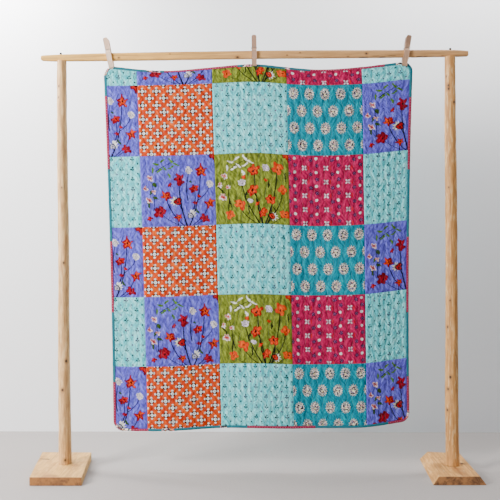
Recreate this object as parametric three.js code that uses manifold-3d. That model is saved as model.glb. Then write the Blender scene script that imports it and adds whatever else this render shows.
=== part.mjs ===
// Quilted patchwork throw hanging by three spring pegs from a plain wooden rack.
// Millimetres, +Z up, the throw faces -Y. The origin is on the floor under the middle of the rack.
import * as THREE from "three";
import { mergeVertices } from "three/addons/utils/BufferGeometryUtils.js";
import Module from "manifold-3d";

const wasm = await Module();
wasm.setup();

// Seating gap between pieces that touch
const GAP = 0.3;

// Throw, laid flat: a common 50 x 60 inch size
const THROW_WIDTH = 1270;
const THROW_LENGTH = 1524;
const CORNER_RADIUS = 38;
const BINDING_WIDTH = 9;
const BINDING_FRONT = 3.6;
const BINDING_BACK = 3.0;
const BINDING_EDGE = 1.6;
const BINDING_FLAT = 0.75;

// Quilting: stitched lines run down the throw in waves, with soft channels between them
const CHANNELS = 50;
const WAVE_ROWS = 31;
const WAVE_SWING = 5.5;
const WAVE_WANDER = 1.6;
const STITCH_DEPTH = 2.0;
const CHANNEL_PUFF = 2.4;
const PUFF_FADE = 24;
const BACK_ROW_STEP = 4;

// How the throw hangs
const TOP_OF_THROW = 1704.5;
const HANG_SHRINK = 0.993;
const FIRST_SEAM = 78;
const TOP_LEAN = 16;
const TOP_LEAN_FADE = 110;

// Patch seams across the throw: flat place, and where they hang at the top, middle and hem
const seamTable = [
  { flat: 0, top: -612, middle: -590, hem: -579 },
  { flat: 138, top: -473, middle: -449, hem: -432 },
  { flat: 446, top: -157, middle: -139, hem: -123 },
  { flat: 757, top: 155, middle: 168, hem: 180 },
  { flat: 1072, top: 469, middle: 476, hem: 481 },
  { flat: 1270, top: 680, middle: 664, hem: 664 },
];

// Sag of the throw across its width: at the top edge, at the first seam and at the hem
const sagTable = [
  { flat: 0, edge: -13, seam: -11, hem: -20 },
  { flat: 30, edge: -6, seam: -10, hem: -24 },
  { flat: 140, edge: -17, seam: -9, hem: -22 },
  { flat: 260, edge: -22, seam: -8, hem: -19 },
  { flat: 458, edge: -10, seam: -3, hem: -10 },
  { flat: 622, edge: -3, seam: 0, hem: -7 },
  { flat: 768, edge: -16, seam: -10, hem: -11 },
  { flat: 900, edge: -24, seam: -16, hem: -10 },
  { flat: 1083, edge: -16, seam: -12, hem: -2 },
  { flat: 1244, edge: -1, seam: 4, hem: 13 },
  { flat: 1270, edge: -8, seam: 5, hem: 16 },
];

// Long soft folds: flat place, half width, and how far forward they stand at the hem
const foldTable = [
  { flat: 0, width: 110, forward: -12 },
  { flat: 210, width: 120, forward: 9 },
  { flat: 430, width: 110, forward: -8 },
  { flat: 640, width: 120, forward: 10 },
  { flat: 860, width: 120, forward: -9 },
  { flat: 1050, width: 110, forward: 8 },
  { flat: 1270, width: 120, forward: -22 },
];

// Rack: two peeled poles on board feet, and a lath across their tops
const POLE_SIDES = 12;
const POLE_OVAL = 0.025;
const POLE_LOBES = 0.012;
const POLE_FOOT = 34 + GAP;
const POLE_TOP = 1723;
const BOARD_THICKNESS = 34;
const BAR_DEPTH = 22;
const BAR_SIDES = 12;
const BAR_CORNER = 0.6;
const BAR_FULLNESS = 1.03;

// Poles: height, centre and half width
const leftPoleTable = [
  { z: POLE_FOOT, x: -781.3, y: 0, half: 26.5 },
  { z: 75, x: -781.6, y: 0, half: 25.6 },
  { z: 320, x: -783.6, y: 1.5, half: 25.0 },
  { z: 600, x: -784.4, y: -1, half: 24.0 },
  { z: 900, x: -784.0, y: 1, half: 23.2 },
  { z: 1180, x: -786.4, y: 2, half: 22.0 },
  { z: 1440, x: -787.8, y: -1, half: 20.6 },
  { z: POLE_TOP, x: -788.4, y: 0, half: 19.2 },
];
const rightPoleTable = [
  { z: POLE_FOOT, x: 834.9, y: 0, half: 27.5 },
  { z: 75, x: 834.6, y: 0, half: 26.8 },
  { z: 330, x: 833.2, y: -1, half: 26.4 },
  { z: 620, x: 834.8, y: 1.5, half: 25.4 },
  { z: 930, x: 835.4, y: 0, half: 24.4 },
  { z: 1200, x: 833.6, y: -2, half: 23.6 },
  { z: 1460, x: 832.6, y: 1, half: 22.2 },
  { z: POLE_TOP, x: 833.0, y: 0, half: 21.2 },
];

// Crossbar: its top and underside along its length
const barTable = [
  { x: -874, top: 1746.0, under: 1727.5 },
  { x: -862, top: 1747.5, under: 1725.8 },
  { x: -815, top: 1749.6, under: POLE_TOP + GAP },
  { x: -755, top: 1751.0, under: POLE_TOP + GAP },
  { x: -600, top: 1753.4, under: 1722.4 },
  { x: -380, top: 1755.2, under: 1722.8 },
  { x: -150, top: 1755.8, under: 1723.6 },
  { x: 80, top: 1756.0, under: 1723.9 },
  { x: 320, top: 1754.6, under: 1723.0 },
  { x: 560, top: 1752.8, under: 1722.2 },
  { x: 690, top: 1751.6, under: 1722.6 },
  { x: 800, top: 1750.4, under: POLE_TOP + GAP },
  { x: 866, top: 1748.6, under: POLE_TOP + GAP },
  { x: 906, top: 1744.6, under: 1724.6 },
];

// Board feet: corners of the top face and of the underside, from front left going round
const leftFoot = {
  top: [[-871, -166], [-663, -164], [-709, 140], [-931, 146]],
  under: [[-871, -166], [-663, -164], [-709, 140], [-931, 146]],
};
const rightFoot = {
  top: [[740, -142], [903, -138], [909, 143], [775, 166]],
  under: [[718, -142], [928, -138], [931, 143], [740, 166]],
};

// Black pan-head screws that hold the bar down on the poles. They stand proud of it on a bit of shank.
const SCREW_HEAD = 8.6;
const SCREW_SHANK = 4.4;
const SCREW_PROUD = 3.2;
const SCREW_FORWARD = 3;
const SCREW_HEIGHT = 4.4;
const SCREW_RIM = 0.45;
const SCREW_CROWN = 0.6;
const SCREW_SIDES = 12;
const screwTable = [
  { name: "screw_left", x: -791 },
  { name: "screw_right", x: 833 },
];

// Wooden spring pegs
const PEG_WIDTH = 20;
const PEG_LENGTH = 128;
const JAW_FRONT = 4.3;
const JAW_BACK = 3.5;
const JAW_LENGTH = 20;
const JAW_THICKNESS = 5;
const NOTCH_LOW = 25;
const NOTCH_HIGH = 70;
const NOTCH_OUTER = 19;
const SHOULDER_LOW = 28;
const SHOULDER_HIGH = 64;
const SPRING_HEIGHT = 76;
const COIL_RADIUS = 4.4;
const COIL_SIDES = 12;
const COIL_SEAT_LOW = 71.2;
const COIL_SEAT_HIGH = 81;
const PIVOT_OUTER = 13.5;
const PIVOT_LOW = 74;
const PIVOT_HIGH = 79;
const HANDLE_START = 83;
const HANDLE_GAP = 3;
const HANDLE_SPREAD = 8;
const HANDLE_OUTER = 16.5;
const WIRE = 2.0;
const ARM_LENGTH = 8;
const ARM_OVERLAP = 0.2;
// Each peg: where it pinches the flat throw, its jaw tip, and its lean to the left in degrees
const pegTable = [
  { name: "peg_left", flat: 30, x: -576, z: 1691.5, lean: 11.3 },
  { name: "peg_middle", flat: 622, x: 21.5, z: 1692.5, lean: 0.3 },
  { name: "peg_right", flat: 1244, x: 643, z: 1685.5, lean: -8.9 },
];

const cloth = new THREE.MeshStandardMaterial({ color: 0x8fb6c4, roughness: 0.9, metalness: 0 });
const tape = new THREE.MeshStandardMaterial({ color: 0x1d8f96, roughness: 0.85, metalness: 0 });
const pine = new THREE.MeshStandardMaterial({ color: 0xd3b183, roughness: 0.6, metalness: 0 });
const pegWood = new THREE.MeshStandardMaterial({ color: 0xcdb9a8, roughness: 0.7, metalness: 0 });
const steel = new THREE.MeshStandardMaterial({ color: 0x8d8f92, roughness: 0.35, metalness: 1 });
const blackSteel = new THREE.MeshStandardMaterial({ color: 0x2a2826, roughness: 0.5, metalness: 1 });

const group = new THREE.Group();

// Smooth curve through one column of a table
function readTable(table, key, column, at) {
  const last = table.length - 1;
  let i = 0;
  while (i < last - 1 && at > table[i + 1][key]) i += 1;
  const slope = (k) => {
    const a = table[Math.max(k - 1, 0)];
    const b = table[Math.min(k + 1, last)];
    return (b[column] - a[column]) / (b[key] - a[key]);
  };
  const span = table[i + 1][key] - table[i][key];
  const p = (at - table[i][key]) / span;
  const q = 1 - p;
  return (
    table[i][column] * (1 + 2 * p) * q * q +
    slope(i) * span * p * q * q +
    table[i + 1][column] * (1 + 2 * q) * p * p -
    slope(i + 1) * span * q * p * p
  );
}

// Seams bent through their three places down the throw
function seamsAt(down) {
  const top = (down - 0.5) * (down - 1) * 2;
  const middle = -down * (down - 1) * 4;
  const hem = down * (down - 0.5) * 2;
  return seamTable.map((seam) => ({
    flat: seam.flat,
    x: seam.top * top + seam.middle * middle + seam.hem * hem,
  }));
}

// Lean of the top edge between two pegs, none at the pegs themselves
function leanBetweenPegs(s) {
  for (let i = 0; i < pegTable.length - 1; i += 1) {
    const from = pegTable[i].flat;
    const to = pegTable[i + 1].flat;
    if (s > from && s < to) return TOP_LEAN * Math.sin((Math.PI * (s - from)) / (to - from)) ** 2;
  }
  return 0;
}

// A point of the flat throw, s across from its left edge and t down from its top, as it hangs
function hang(s, t, depth) {
  const down = t / THROW_LENGTH;
  const x = readTable(seamsAt(down), "flat", "x", s);
  const edge = readTable(sagTable, "flat", "edge", s);
  const seam = readTable(sagTable, "flat", "seam", s);
  const hem = readTable(sagTable, "flat", "hem", s);
  const past = (t - FIRST_SEAM) / (THROW_LENGTH - FIRST_SEAM);
  const sag = t < FIRST_SEAM ? edge + ((seam - edge) * t) / FIRST_SEAM : seam + (hem - seam) * past;
  const grown = 1 - (1 - down) ** 2;
  let forward = 0;
  for (const fold of foldTable) {
    forward += fold.forward * grown * Math.exp(-(((s - fold.flat) / fold.width) ** 2));
  }
  const lean = leanBetweenPegs(s) * Math.max(0, 1 - t / TOP_LEAN_FADE) ** 2;
  return [x, lean - forward + depth, TOP_OF_THROW - t * HANG_SHRINK + sag];
}

function meshFrom(name, points, triangles, material) {
  const geometry = new THREE.BufferGeometry();
  geometry.setAttribute("position", new THREE.Float32BufferAttribute(points.flat(), 3));
  geometry.setIndex(triangles.flat());
  const mesh = new THREE.Mesh(geometry, material);
  mesh.name = name;
  return mesh;
}

// Rows and columns of the quilted body, with rounded corners inside the binding
const bodyInset = BINDING_WIDTH + GAP;
const bodyWidth = THROW_WIDTH - 2 * bodyInset;
const bodyLength = THROW_LENGTH - 2 * bodyInset;
const bodyRadius = CORNER_RADIUS - bodyInset;
const columns = 2 * CHANNELS;
const cornerStep = bodyRadius * (1 - Math.SQRT1_2);
const rowPlaces = [0, cornerStep];
for (let i = 0; i <= WAVE_ROWS; i += 1) {
  rowPlaces.push(bodyRadius + ((bodyLength - 2 * bodyRadius) * i) / WAVE_ROWS);
}
rowPlaces.push(bodyLength - cornerStep, bodyLength);
const rows = rowPlaces.length - 1;

function cornerInset(t) {
  const near = Math.min(t, bodyLength - t);
  if (near >= bodyRadius) return 0;
  return bodyRadius - Math.sqrt(bodyRadius ** 2 - (bodyRadius - near) ** 2);
}

// Flat place of a grid point of the body, with its stitched line swung by the wave
function bodyPlace(column, row, wave) {
  const t = rowPlaces[row];
  let s = (bodyWidth * column) / columns;
  const inner = row > 1 && row < rows - 1 && column > 0 && column < columns;
  if (wave && inner && column % 2 === 0) {
    const side = (row + column / 2) % 2 === 0 ? 1 : -1;
    s += WAVE_SWING * side + WAVE_WANDER * Math.sin(2.1 * column + 1.3 * row);
  }
  const reach = 3 * bodyRadius;
  const inset = cornerInset(t);
  const edge = Math.min(s, bodyWidth - s);
  if (edge < reach) {
    const moved = inset + (edge * (reach - inset)) / reach;
    s = s < bodyWidth / 2 ? moved : bodyWidth - moved;
  }
  return [s + bodyInset, t + bodyInset];
}

// Join two closed loops of points, given in the same turning sense, with triangles
function zipLoops(outer, inner) {
  const triangles = [];
  let i = 0;
  let j = 0;
  while (i < outer.length || j < inner.length) {
    const nextOuter = i < outer.length ? (outer[i + 1]?.along ?? 1) : 2;
    const nextInner = j < inner.length ? (inner[j + 1]?.along ?? 1) : 2;
    const a = outer[i % outer.length].index;
    const b = inner[j % inner.length].index;
    if (nextOuter <= nextInner) {
      triangles.push([a, outer[(i + 1) % outer.length].index, b]);
      i += 1;
    } else {
      triangles.push([a, inner[(j + 1) % inner.length].index, b]);
      j += 1;
    }
  }
  return triangles;
}

// Rim of a grid, clockwise from its top left, each point with its share of the way round
function rimOf(columnList, rowList, indexAt) {
  const rim = [];
  const lastColumn = columnList.at(-1);
  const lastRow = rowList.at(-1);
  const add = (column, row, side, share) => {
    rim.push({ column, row, index: indexAt(column, row), along: (side + share) / 4 });
  };
  for (const column of columnList.slice(0, -1)) add(column, 0, 0, column / lastColumn);
  for (const row of rowList.slice(0, -1)) add(lastColumn, row, 1, row / lastRow);
  for (const column of [...columnList].reverse().slice(0, -1)) {
    add(column, lastRow, 2, 1 - column / lastColumn);
  }
  for (const row of [...rowList].reverse().slice(0, -1)) add(0, row, 3, 1 - row / lastRow);
  return rim;
}

const allColumns = Array.from({ length: columns + 1 }, (_, i) => i);
const lineColumns = allColumns.filter((column) => column % 2 === 0);
const allRows = Array.from({ length: rows + 1 }, (_, i) => i);
const backRows = allRows.filter(
  (row) => row < 3 || row > rows - 3 || (row - 2) % BACK_ROW_STEP === 0,
);

// Quilted body: raised channels between the stitched lines on its face, a plain back
function makeThrow() {
  const points = [];
  const triangles = [];
  const frontIndex = (column, row) => row * (columns + 1) + column;
  for (const row of allRows) {
    for (const column of allColumns) {
      const [s, t] = bodyPlace(column, row, true);
      const rim = Math.min(s, THROW_WIDTH - s, t, THROW_LENGTH - t) - bodyInset;
      const puff = column % 2 === 1 ? CHANNEL_PUFF * Math.min(1, rim / PUFF_FADE) : 0;
      points.push(hang(s, t, -STITCH_DEPTH - puff));
    }
  }
  for (let row = 0; row < rows; row += 1) {
    for (let column = 0; column < columns; column += 1) {
      const a = frontIndex(column, row);
      const b = frontIndex(column + 1, row);
      const c = frontIndex(column + 1, row + 1);
      const d = frontIndex(column, row + 1);
      triangles.push([a, d, c], [a, c, b]);
    }
  }
  const backIndex = new Map();
  for (const row of backRows) {
    for (const column of lineColumns) {
      backIndex.set(`${column},${row}`, points.length);
      points.push(hang(...bodyPlace(column, row, false), STITCH_DEPTH));
    }
  }
  const backAt = (column, row) => backIndex.get(`${column},${row}`);
  for (let i = 0; i < backRows.length - 1; i += 1) {
    for (let k = 0; k < lineColumns.length - 1; k += 1) {
      const a = backAt(lineColumns[k], backRows[i]);
      const b = backAt(lineColumns[k + 1], backRows[i]);
      const c = backAt(lineColumns[k + 1], backRows[i + 1]);
      const d = backAt(lineColumns[k], backRows[i + 1]);
      triangles.push([a, c, d], [a, b, c]);
    }
  }
  triangles.push(
    ...zipLoops(rimOf(allColumns, allRows, frontIndex), rimOf(lineColumns, backRows, backAt)),
  );
  return meshFrom("quilted_throw", points, triangles, cloth);
}
group.add(makeThrow());

// Binding: one strip folded over the edge all the way round, a little prouder than the body
function makeBinding() {
  const rim = rimOf(lineColumns, allRows, () => 0);
  const places = rim.map(({ column, row }) => bodyPlace(column, row, false));
  const section = [
    [GAP, -BINDING_FRONT],
    [BINDING_WIDTH * BINDING_FLAT, -BINDING_FRONT],
    [BINDING_WIDTH, -BINDING_EDGE],
    [BINDING_WIDTH, BINDING_EDGE],
    [GAP, BINDING_BACK],
  ];
  const points = [];
  const triangles = [];
  const count = places.length;
  places.forEach(([s, t], i) => {
    const before = places[(i + count - 1) % count];
    const after = places[(i + 1) % count];
    const along = new THREE.Vector2(after[0] - before[0], after[1] - before[1]).normalize();
    for (const [out, depth] of section) {
      points.push(hang(s + along.y * out, t - along.x * out, depth));
    }
  });
  const sides = section.length;
  for (let i = 0; i < count; i += 1) {
    for (let k = 0; k < sides; k += 1) {
      const a = i * sides + k;
      const b = i * sides + ((k + 1) % sides);
      const c = ((i + 1) % count) * sides + ((k + 1) % sides);
      const d = ((i + 1) % count) * sides + k;
      triangles.push([a, c, b], [a, d, c]);
    }
  }
  return meshFrom("binding", points, triangles, tape);
}
group.add(makeBinding());

// A closed body lofted through rings of equal count, with fans over both ends
function loftRings(name, rings, material) {
  const sides = rings[0].length;
  const points = rings.flat();
  const triangles = [];
  for (let i = 0; i < rings.length - 1; i += 1) {
    for (let k = 0; k < sides; k += 1) {
      const a = i * sides + k;
      const b = i * sides + ((k + 1) % sides);
      triangles.push([a, b, b + sides], [a, b + sides, a + sides]);
    }
  }
  const lastRing = (rings.length - 1) * sides;
  for (let k = 1; k < sides - 1; k += 1) {
    triangles.push([0, k + 1, k], [lastRing, lastRing + k, lastRing + k + 1]);
  }
  return meshFrom(name, points, triangles, material);
}

// Peeled pole: a slightly uneven round that swells and leans as it grew
function makePole(name, table, seed) {
  const rings = table.map(({ z, x, y, half }, level) => {
    const ring = [];
    for (let k = 0; k < POLE_SIDES; k += 1) {
      const turn = (2 * Math.PI * k) / POLE_SIDES;
      const oval = POLE_OVAL * Math.sin(2 * turn + seed + level);
      const uneven = 1 + oval + POLE_LOBES * Math.sin(3 * turn - seed);
      ring.push([x + half * uneven * Math.cos(turn), y + half * uneven * Math.sin(turn), z]);
    }
    return ring;
  });
  return loftRings(name, rings, pine);
}
group.add(makePole("pole_left", leftPoleTable, 0.6));
group.add(makePole("pole_right", rightPoleTable, 2.4));

// Crossbar: a lath with rounded edges, thinner towards its left end
function makeBar() {
  const rings = barTable.map(({ x, top, under }) => {
    const middle = (top + under) / 2;
    const half = (top - under) / 2;
    const ring = [];
    for (let k = 0; k < BAR_SIDES; k += 1) {
      const turn = (2 * Math.PI * (k + 0.5)) / BAR_SIDES;
      const full = (value) => Math.min(1, Math.abs(value) ** BAR_CORNER * BAR_FULLNESS);
      const squared = (value) => Math.sign(value) * full(value);
      const y = (BAR_DEPTH / 2) * squared(Math.cos(turn));
      ring.push([x, y, middle + half * squared(Math.sin(turn))]);
    }
    return ring;
  });
  return loftRings("crossbar", rings, pine);
}
group.add(makeBar());

// Board foot, cut by hand: no two sides quite parallel
function makeFoot(name, corners) {
  const ringAt = (list, z) => list.map(([x, y]) => [x, y, z]);
  return loftRings(name, [ringAt(corners.under, 0), ringAt(corners.top, BOARD_THICKNESS)], pine);
}
group.add(makeFoot("foot_left", leftFoot));
group.add(makeFoot("foot_right", rightFoot));

// Screw heads above the bar, each on the bare end of its shank
for (const { name, x } of screwTable) {
  const radius = SCREW_HEAD / 2;
  const profile = [
    [0, 0],
    [SCREW_SHANK / 2, 0],
    [SCREW_SHANK / 2, SCREW_PROUD],
    [radius, SCREW_PROUD],
    [radius, SCREW_PROUD + SCREW_HEIGHT * SCREW_RIM],
    [radius * SCREW_CROWN, SCREW_PROUD + SCREW_HEIGHT],
    [0, SCREW_PROUD + SCREW_HEIGHT],
  ].map(([r, z]) => new THREE.Vector2(r, z));
  const mesh = new THREE.Mesh(new THREE.LatheGeometry(profile, SCREW_SIDES), blackSteel);
  mesh.name = name;
  mesh.rotation.x = Math.PI / 2;
  mesh.position.set(x, -SCREW_FORWARD, readTable(barTable, "x", "top", x) + GAP);
  group.add(mesh);
}

// Side outline of one leg, from its jaw tip up: front legs have side -1, back legs +1
function legOutline(side) {
  const jaw = side < 0 ? JAW_FRONT : JAW_BACK;
  const notch = BAR_DEPTH / 2 + GAP;
  const seat = COIL_RADIUS + GAP;
  const outline = [
    [jaw, 0],
    [jaw, JAW_LENGTH],
    [notch, NOTCH_LOW],
    [notch, NOTCH_HIGH],
    [seat, COIL_SEAT_LOW],
    [seat, COIL_SEAT_HIGH],
    [HANDLE_GAP, HANDLE_START],
    [HANDLE_SPREAD, PEG_LENGTH - 1],
    [HANDLE_SPREAD + 1.5, PEG_LENGTH],
    [HANDLE_OUTER - 2.5, PEG_LENGTH],
    [HANDLE_OUTER, PEG_LENGTH - 3],
    [PIVOT_OUTER, PIVOT_HIGH],
    [PIVOT_OUTER, PIVOT_LOW],
    [NOTCH_OUTER, SHOULDER_HIGH],
    [NOTCH_OUTER, SHOULDER_LOW],
    [jaw + JAW_THICKNESS, 0],
  ];
  return new THREE.Shape(outline.map(([y, z]) => new THREE.Vector2(side * y, z)));
}

// A closed three.js geometry as a manifold solid
function solidOf(geometry) {
  geometry.deleteAttribute("normal");
  geometry.deleteAttribute("uv");
  const merged = mergeVertices(geometry);
  return new wasm.Manifold(
    new wasm.Mesh({
      numProp: 3,
      vertProperties: new Float32Array(merged.attributes.position.array),
      triVerts: new Uint32Array(merged.index.array),
    }),
  );
}

function boxBetween(low, high) {
  const size = high.map((value, i) => value - low[i]);
  const box = new THREE.BoxGeometry(...size);
  box.translate(...low.map((value, i) => value + size[i] / 2));
  return box;
}

// Spring: a close coil between the legs, with a wire arm round each leg
function makeSpring(name) {
  const side = PEG_WIDTH / 2 + GAP;
  const coil = new THREE.CylinderGeometry(COIL_RADIUS, COIL_RADIUS, 2 * side, COIL_SIDES);
  coil.rotateZ(Math.PI / 2);
  coil.translate(0, 0, SPRING_HEIGHT);
  const low = SPRING_HEIGHT - WIRE / 2;
  const high = SPRING_HEIGHT + WIRE / 2;
  const face = PIVOT_OUTER + GAP;
  const root = side - ARM_OVERLAP;
  const arms = [
    boxBetween([root, -face - WIRE, low], [side + WIRE, WIRE / 2, high]),
    boxBetween([-ARM_LENGTH, -face - WIRE, low], [side + WIRE, -face, high]),
    boxBetween([-side - WIRE, -WIRE / 2, low], [-root, face + WIRE, high]),
    boxBetween([-side - WIRE, face, low], [ARM_LENGTH, face + WIRE, high]),
  ];
  let solid = solidOf(coil);
  for (const arm of arms) solid = solid.add(solidOf(arm));
  const { vertProperties, triVerts } = solid.getMesh();
  const geometry = new THREE.BufferGeometry();
  geometry.setAttribute("position", new THREE.BufferAttribute(vertProperties, 3));
  geometry.setIndex(new THREE.BufferAttribute(triVerts, 1));
  const mesh = new THREE.Mesh(geometry, steel);
  mesh.name = name;
  return mesh;
}

for (const { name, x, z, lean } of pegTable) {
  const peg = new THREE.Group();
  for (const [part, side] of [["front", -1], ["back", 1]]) {
    const geometry = new THREE.ExtrudeGeometry(legOutline(side), {
      depth: PEG_WIDTH,
      bevelEnabled: false,
    });
    geometry.translate(0, 0, -PEG_WIDTH / 2);
    geometry.rotateX(Math.PI / 2);
    geometry.rotateZ(Math.PI / 2);
    const leg = new THREE.Mesh(geometry, pegWood);
    leg.name = `${name}_${part}`;
    peg.add(leg);
  }
  peg.add(makeSpring(`${name}_spring`));
  peg.position.set(x, 0, z);
  peg.rotation.y = THREE.MathUtils.degToRad(-lean);
  group.add(peg);
}

export default group;
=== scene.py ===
import math

import bmesh
import bpy
import numpy as np
from mathutils import Matrix, Vector, noise


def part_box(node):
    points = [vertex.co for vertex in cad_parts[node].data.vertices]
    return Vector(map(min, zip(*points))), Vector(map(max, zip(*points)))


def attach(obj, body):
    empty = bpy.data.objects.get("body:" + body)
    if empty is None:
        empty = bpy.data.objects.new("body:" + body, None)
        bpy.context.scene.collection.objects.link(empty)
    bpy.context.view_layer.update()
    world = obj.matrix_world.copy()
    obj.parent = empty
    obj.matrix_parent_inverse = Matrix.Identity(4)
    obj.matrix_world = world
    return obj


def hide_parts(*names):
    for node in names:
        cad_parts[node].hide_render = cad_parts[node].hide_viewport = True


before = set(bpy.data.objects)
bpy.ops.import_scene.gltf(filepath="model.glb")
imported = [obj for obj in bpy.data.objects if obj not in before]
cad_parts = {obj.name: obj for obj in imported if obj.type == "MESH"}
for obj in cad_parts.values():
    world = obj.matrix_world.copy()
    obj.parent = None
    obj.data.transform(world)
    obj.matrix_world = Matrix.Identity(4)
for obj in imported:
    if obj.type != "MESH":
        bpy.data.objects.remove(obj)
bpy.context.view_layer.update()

# Back of the throw: one plain cotton sheet with the wadding behind the patchwork, quilted through
# in long waving lines that lean towards and away from each other. It hangs by three pegs, so its top
# edge dips between them, and its weight opens into soft folds towards the hem.
MM = 0.001
THROW_WIDTH = 1270 * MM
THROW_LENGTH = 1524 * MM
BINDING_WIDTH = 9.3 * MM
CORNER_RADIUS = 28.7 * MM
TOP_OF_THROW = 1704.5 * MM
HANG_SHRINK = 0.993
FIRST_SEAM = 78 * MM
TOP_LEAN = 16 * MM
TOP_LEAN_FADE = 110 * MM

# Patch seams: flat place across, and where they hang at the top, middle and hem
SEAMS = np.array([
    (0, -612, -590, -579),
    (138, -473, -449, -432),
    (446, -157, -139, -123),
    (757, 155, 168, 180),
    (1072, 469, 476, 481),
    (1270, 680, 664, 664),
]) * MM
# Sag across the width: flat place, at the top edge, at the first seam, at the hem
SAGS = np.array([
    (0, -13, -11, -20),
    (30, -6, -10, -24),
    (140, -17, -9, -22),
    (260, -22, -8, -19),
    (458, -10, -3, -10),
    (622, -3, 0, -7),
    (768, -16, -10, -11),
    (900, -24, -16, -10),
    (1083, -16, -12, -2),
    (1244, -1, 4, 13),
    (1270, -8, 5, 16),
]) * MM
# Long folds: flat place, half width, how far forward they stand at the hem
FOLDS = np.array([
    (0, 110, -12),
    (210, 120, 9),
    (430, 110, -8),
    (640, 120, 10),
    (860, 120, -9),
    (1050, 110, 8),
    (1270, 120, -22),
]) * MM
# Creases that pull out of the pegs and run down the cloth: from, to, half width, height
CREASES = np.array([
    (34, 8, 96, 215, 15, 1.9),
    (36, 10, 190, 120, 13, -1.4),
    (28, 8, 22, 260, 14, 1.5),
    (618, 6, 540, 190, 15, 1.8),
    (626, 6, 705, 200, 15, 1.7),
    (622, 20, 628, 240, 17, -1.2),
    (1240, 8, 1160, 190, 15, 1.8),
    (1244, 10, 1236, 250, 14, -1.4),
    (300, 420, 345, 900, 24, -1.8),
    (925, 520, 960, 1180, 26, 1.9),
    (1150, 640, 1185, 1400, 22, -2.0),
    (118, 760, 96, 1380, 22, 1.9),
]) * MM
PEG_PLACES = (30 * MM, 622 * MM, 1244 * MM)


def read_table(places, values, at):
    """Smooth curve through a table at many places, as a fair line through its points."""
    last = len(places) - 1
    values = np.broadcast_to(values.reshape(last + 1, -1), (last + 1, at.size))
    each = np.arange(at.size)
    low = np.clip(np.searchsorted(places, at) - 1, 0, last - 1)

    def slope(k):
        before = np.maximum(k - 1, 0)
        after = np.minimum(k + 1, last)
        return (values[after, each] - values[before, each]) / (places[after] - places[before])

    span = places[low + 1] - places[low]
    p = (at - places[low]) / span
    q = 1 - p
    ends = values[low, each] * (1 + 2 * p) * q * q + values[low + 1, each] * (1 + 2 * q) * p * p
    return ends + span * p * q * (slope(low) * q - slope(low + 1) * p)


def crease_height(s, t):
    """How far the creases stand forward at flat places s across and t down."""
    height = np.zeros_like(s)
    for s0, t0, s1, t1, half, tall in CREASES:
        way = ((s - s0) * (s1 - s0) + (t - t0) * (t1 - t0)) / ((s1 - s0) ** 2 + (t1 - t0) ** 2)
        off = ((s - s0) * (t1 - t0) - (t - t0) * (s1 - s0)) / math.hypot(s1 - s0, t1 - t0)
        run = np.clip(way, 0, 1)
        fade = np.sin(np.pi * run ** 0.6) ** 1.2
        height += tall * fade * np.exp(-((off / half) ** 2))
    return height


def hang(s, t, depth):
    """Points of the flat throw, s across from its left edge and t down from its top, as it hangs."""
    shape = s.shape
    s, t, depth = (np.broadcast_to(a, shape).ravel() for a in (s, t, depth))
    down = t / THROW_LENGTH
    seams = (
        SEAMS[:, 1:2] * ((down - 0.5) * (down - 1) * 2)
        - SEAMS[:, 2:3] * (down * (down - 1) * 4)
        + SEAMS[:, 3:4] * (down * (down - 0.5) * 2)
    )
    x = read_table(SEAMS[:, 0], seams, s)
    edge, seam, hem = (read_table(SAGS[:, 0], SAGS[:, k], s) for k in (1, 2, 3))
    past = (t - FIRST_SEAM) / (THROW_LENGTH - FIRST_SEAM)
    sag = np.where(t < FIRST_SEAM, edge + (seam - edge) * t / FIRST_SEAM, seam + (hem - seam) * past)
    grown = 1 - (1 - down) ** 2
    forward = sum(f * grown * np.exp(-(((s - place) / half) ** 2)) for place, half, f in FOLDS)
    lean = np.zeros_like(s)
    for start, end in zip(PEG_PLACES, PEG_PLACES[1:]):
        between = np.clip((s - start) / (end - start), 0, 1)
        lean += TOP_LEAN * np.sin(np.pi * between) ** 2
    lean *= np.maximum(0, 1 - t / TOP_LEAN_FADE) ** 2
    y = lean - forward - crease_height(s, t) + depth
    return np.column_stack([x, y, TOP_OF_THROW - t * HANG_SHRINK + sag]).reshape(*shape, 3)


# Quilting lines: pitch across, wave down, swing to each side
LINE_PITCH = (THROW_WIDTH - 2 * BINDING_WIDTH) / 50
WAVE_STEP = (THROW_LENGTH - 2 * BINDING_WIDTH - 2 * CORNER_RADIUS) / 31
LINE_SWING = 5.5 * MM
LINE_WANDER = 1.6 * MM


def line_at(k, t):
    """Flat place of stitched line k at t down: neighbours swing opposite ways, so leaf shapes open."""
    row = 2 + (t - BINDING_WIDTH - CORNER_RADIUS) / WAVE_STEP
    swing = LINE_SWING * np.cos(np.pi * (row + k)) + LINE_WANDER * np.sin(4.2 * k + 1.3 * row)
    return BINDING_WIDTH + LINE_PITCH * k + swing


def channel(s, t):
    """Number of the line to the left, share of the way to the next, and the width between them."""
    k = np.floor((s - BINDING_WIDTH) / LINE_PITCH)
    k = np.where(s < line_at(k, t), k - 1, k)
    k = np.where(s >= line_at(k + 1, t), k + 1, k)
    left = line_at(k, t)
    width = line_at(k + 1, t) - left
    return k, np.clip((s - left) / width, 0, 1), width


def pinch(s, t):
    """1 where a peg squeezes the cloth, 0 away from it."""
    under = sum(np.exp(-(((s - place) / (15 * MM)) ** 4)) for place in PEG_PLACES)
    return under * np.clip(1.3 - t / (30 * MM), 0, 1)


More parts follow.
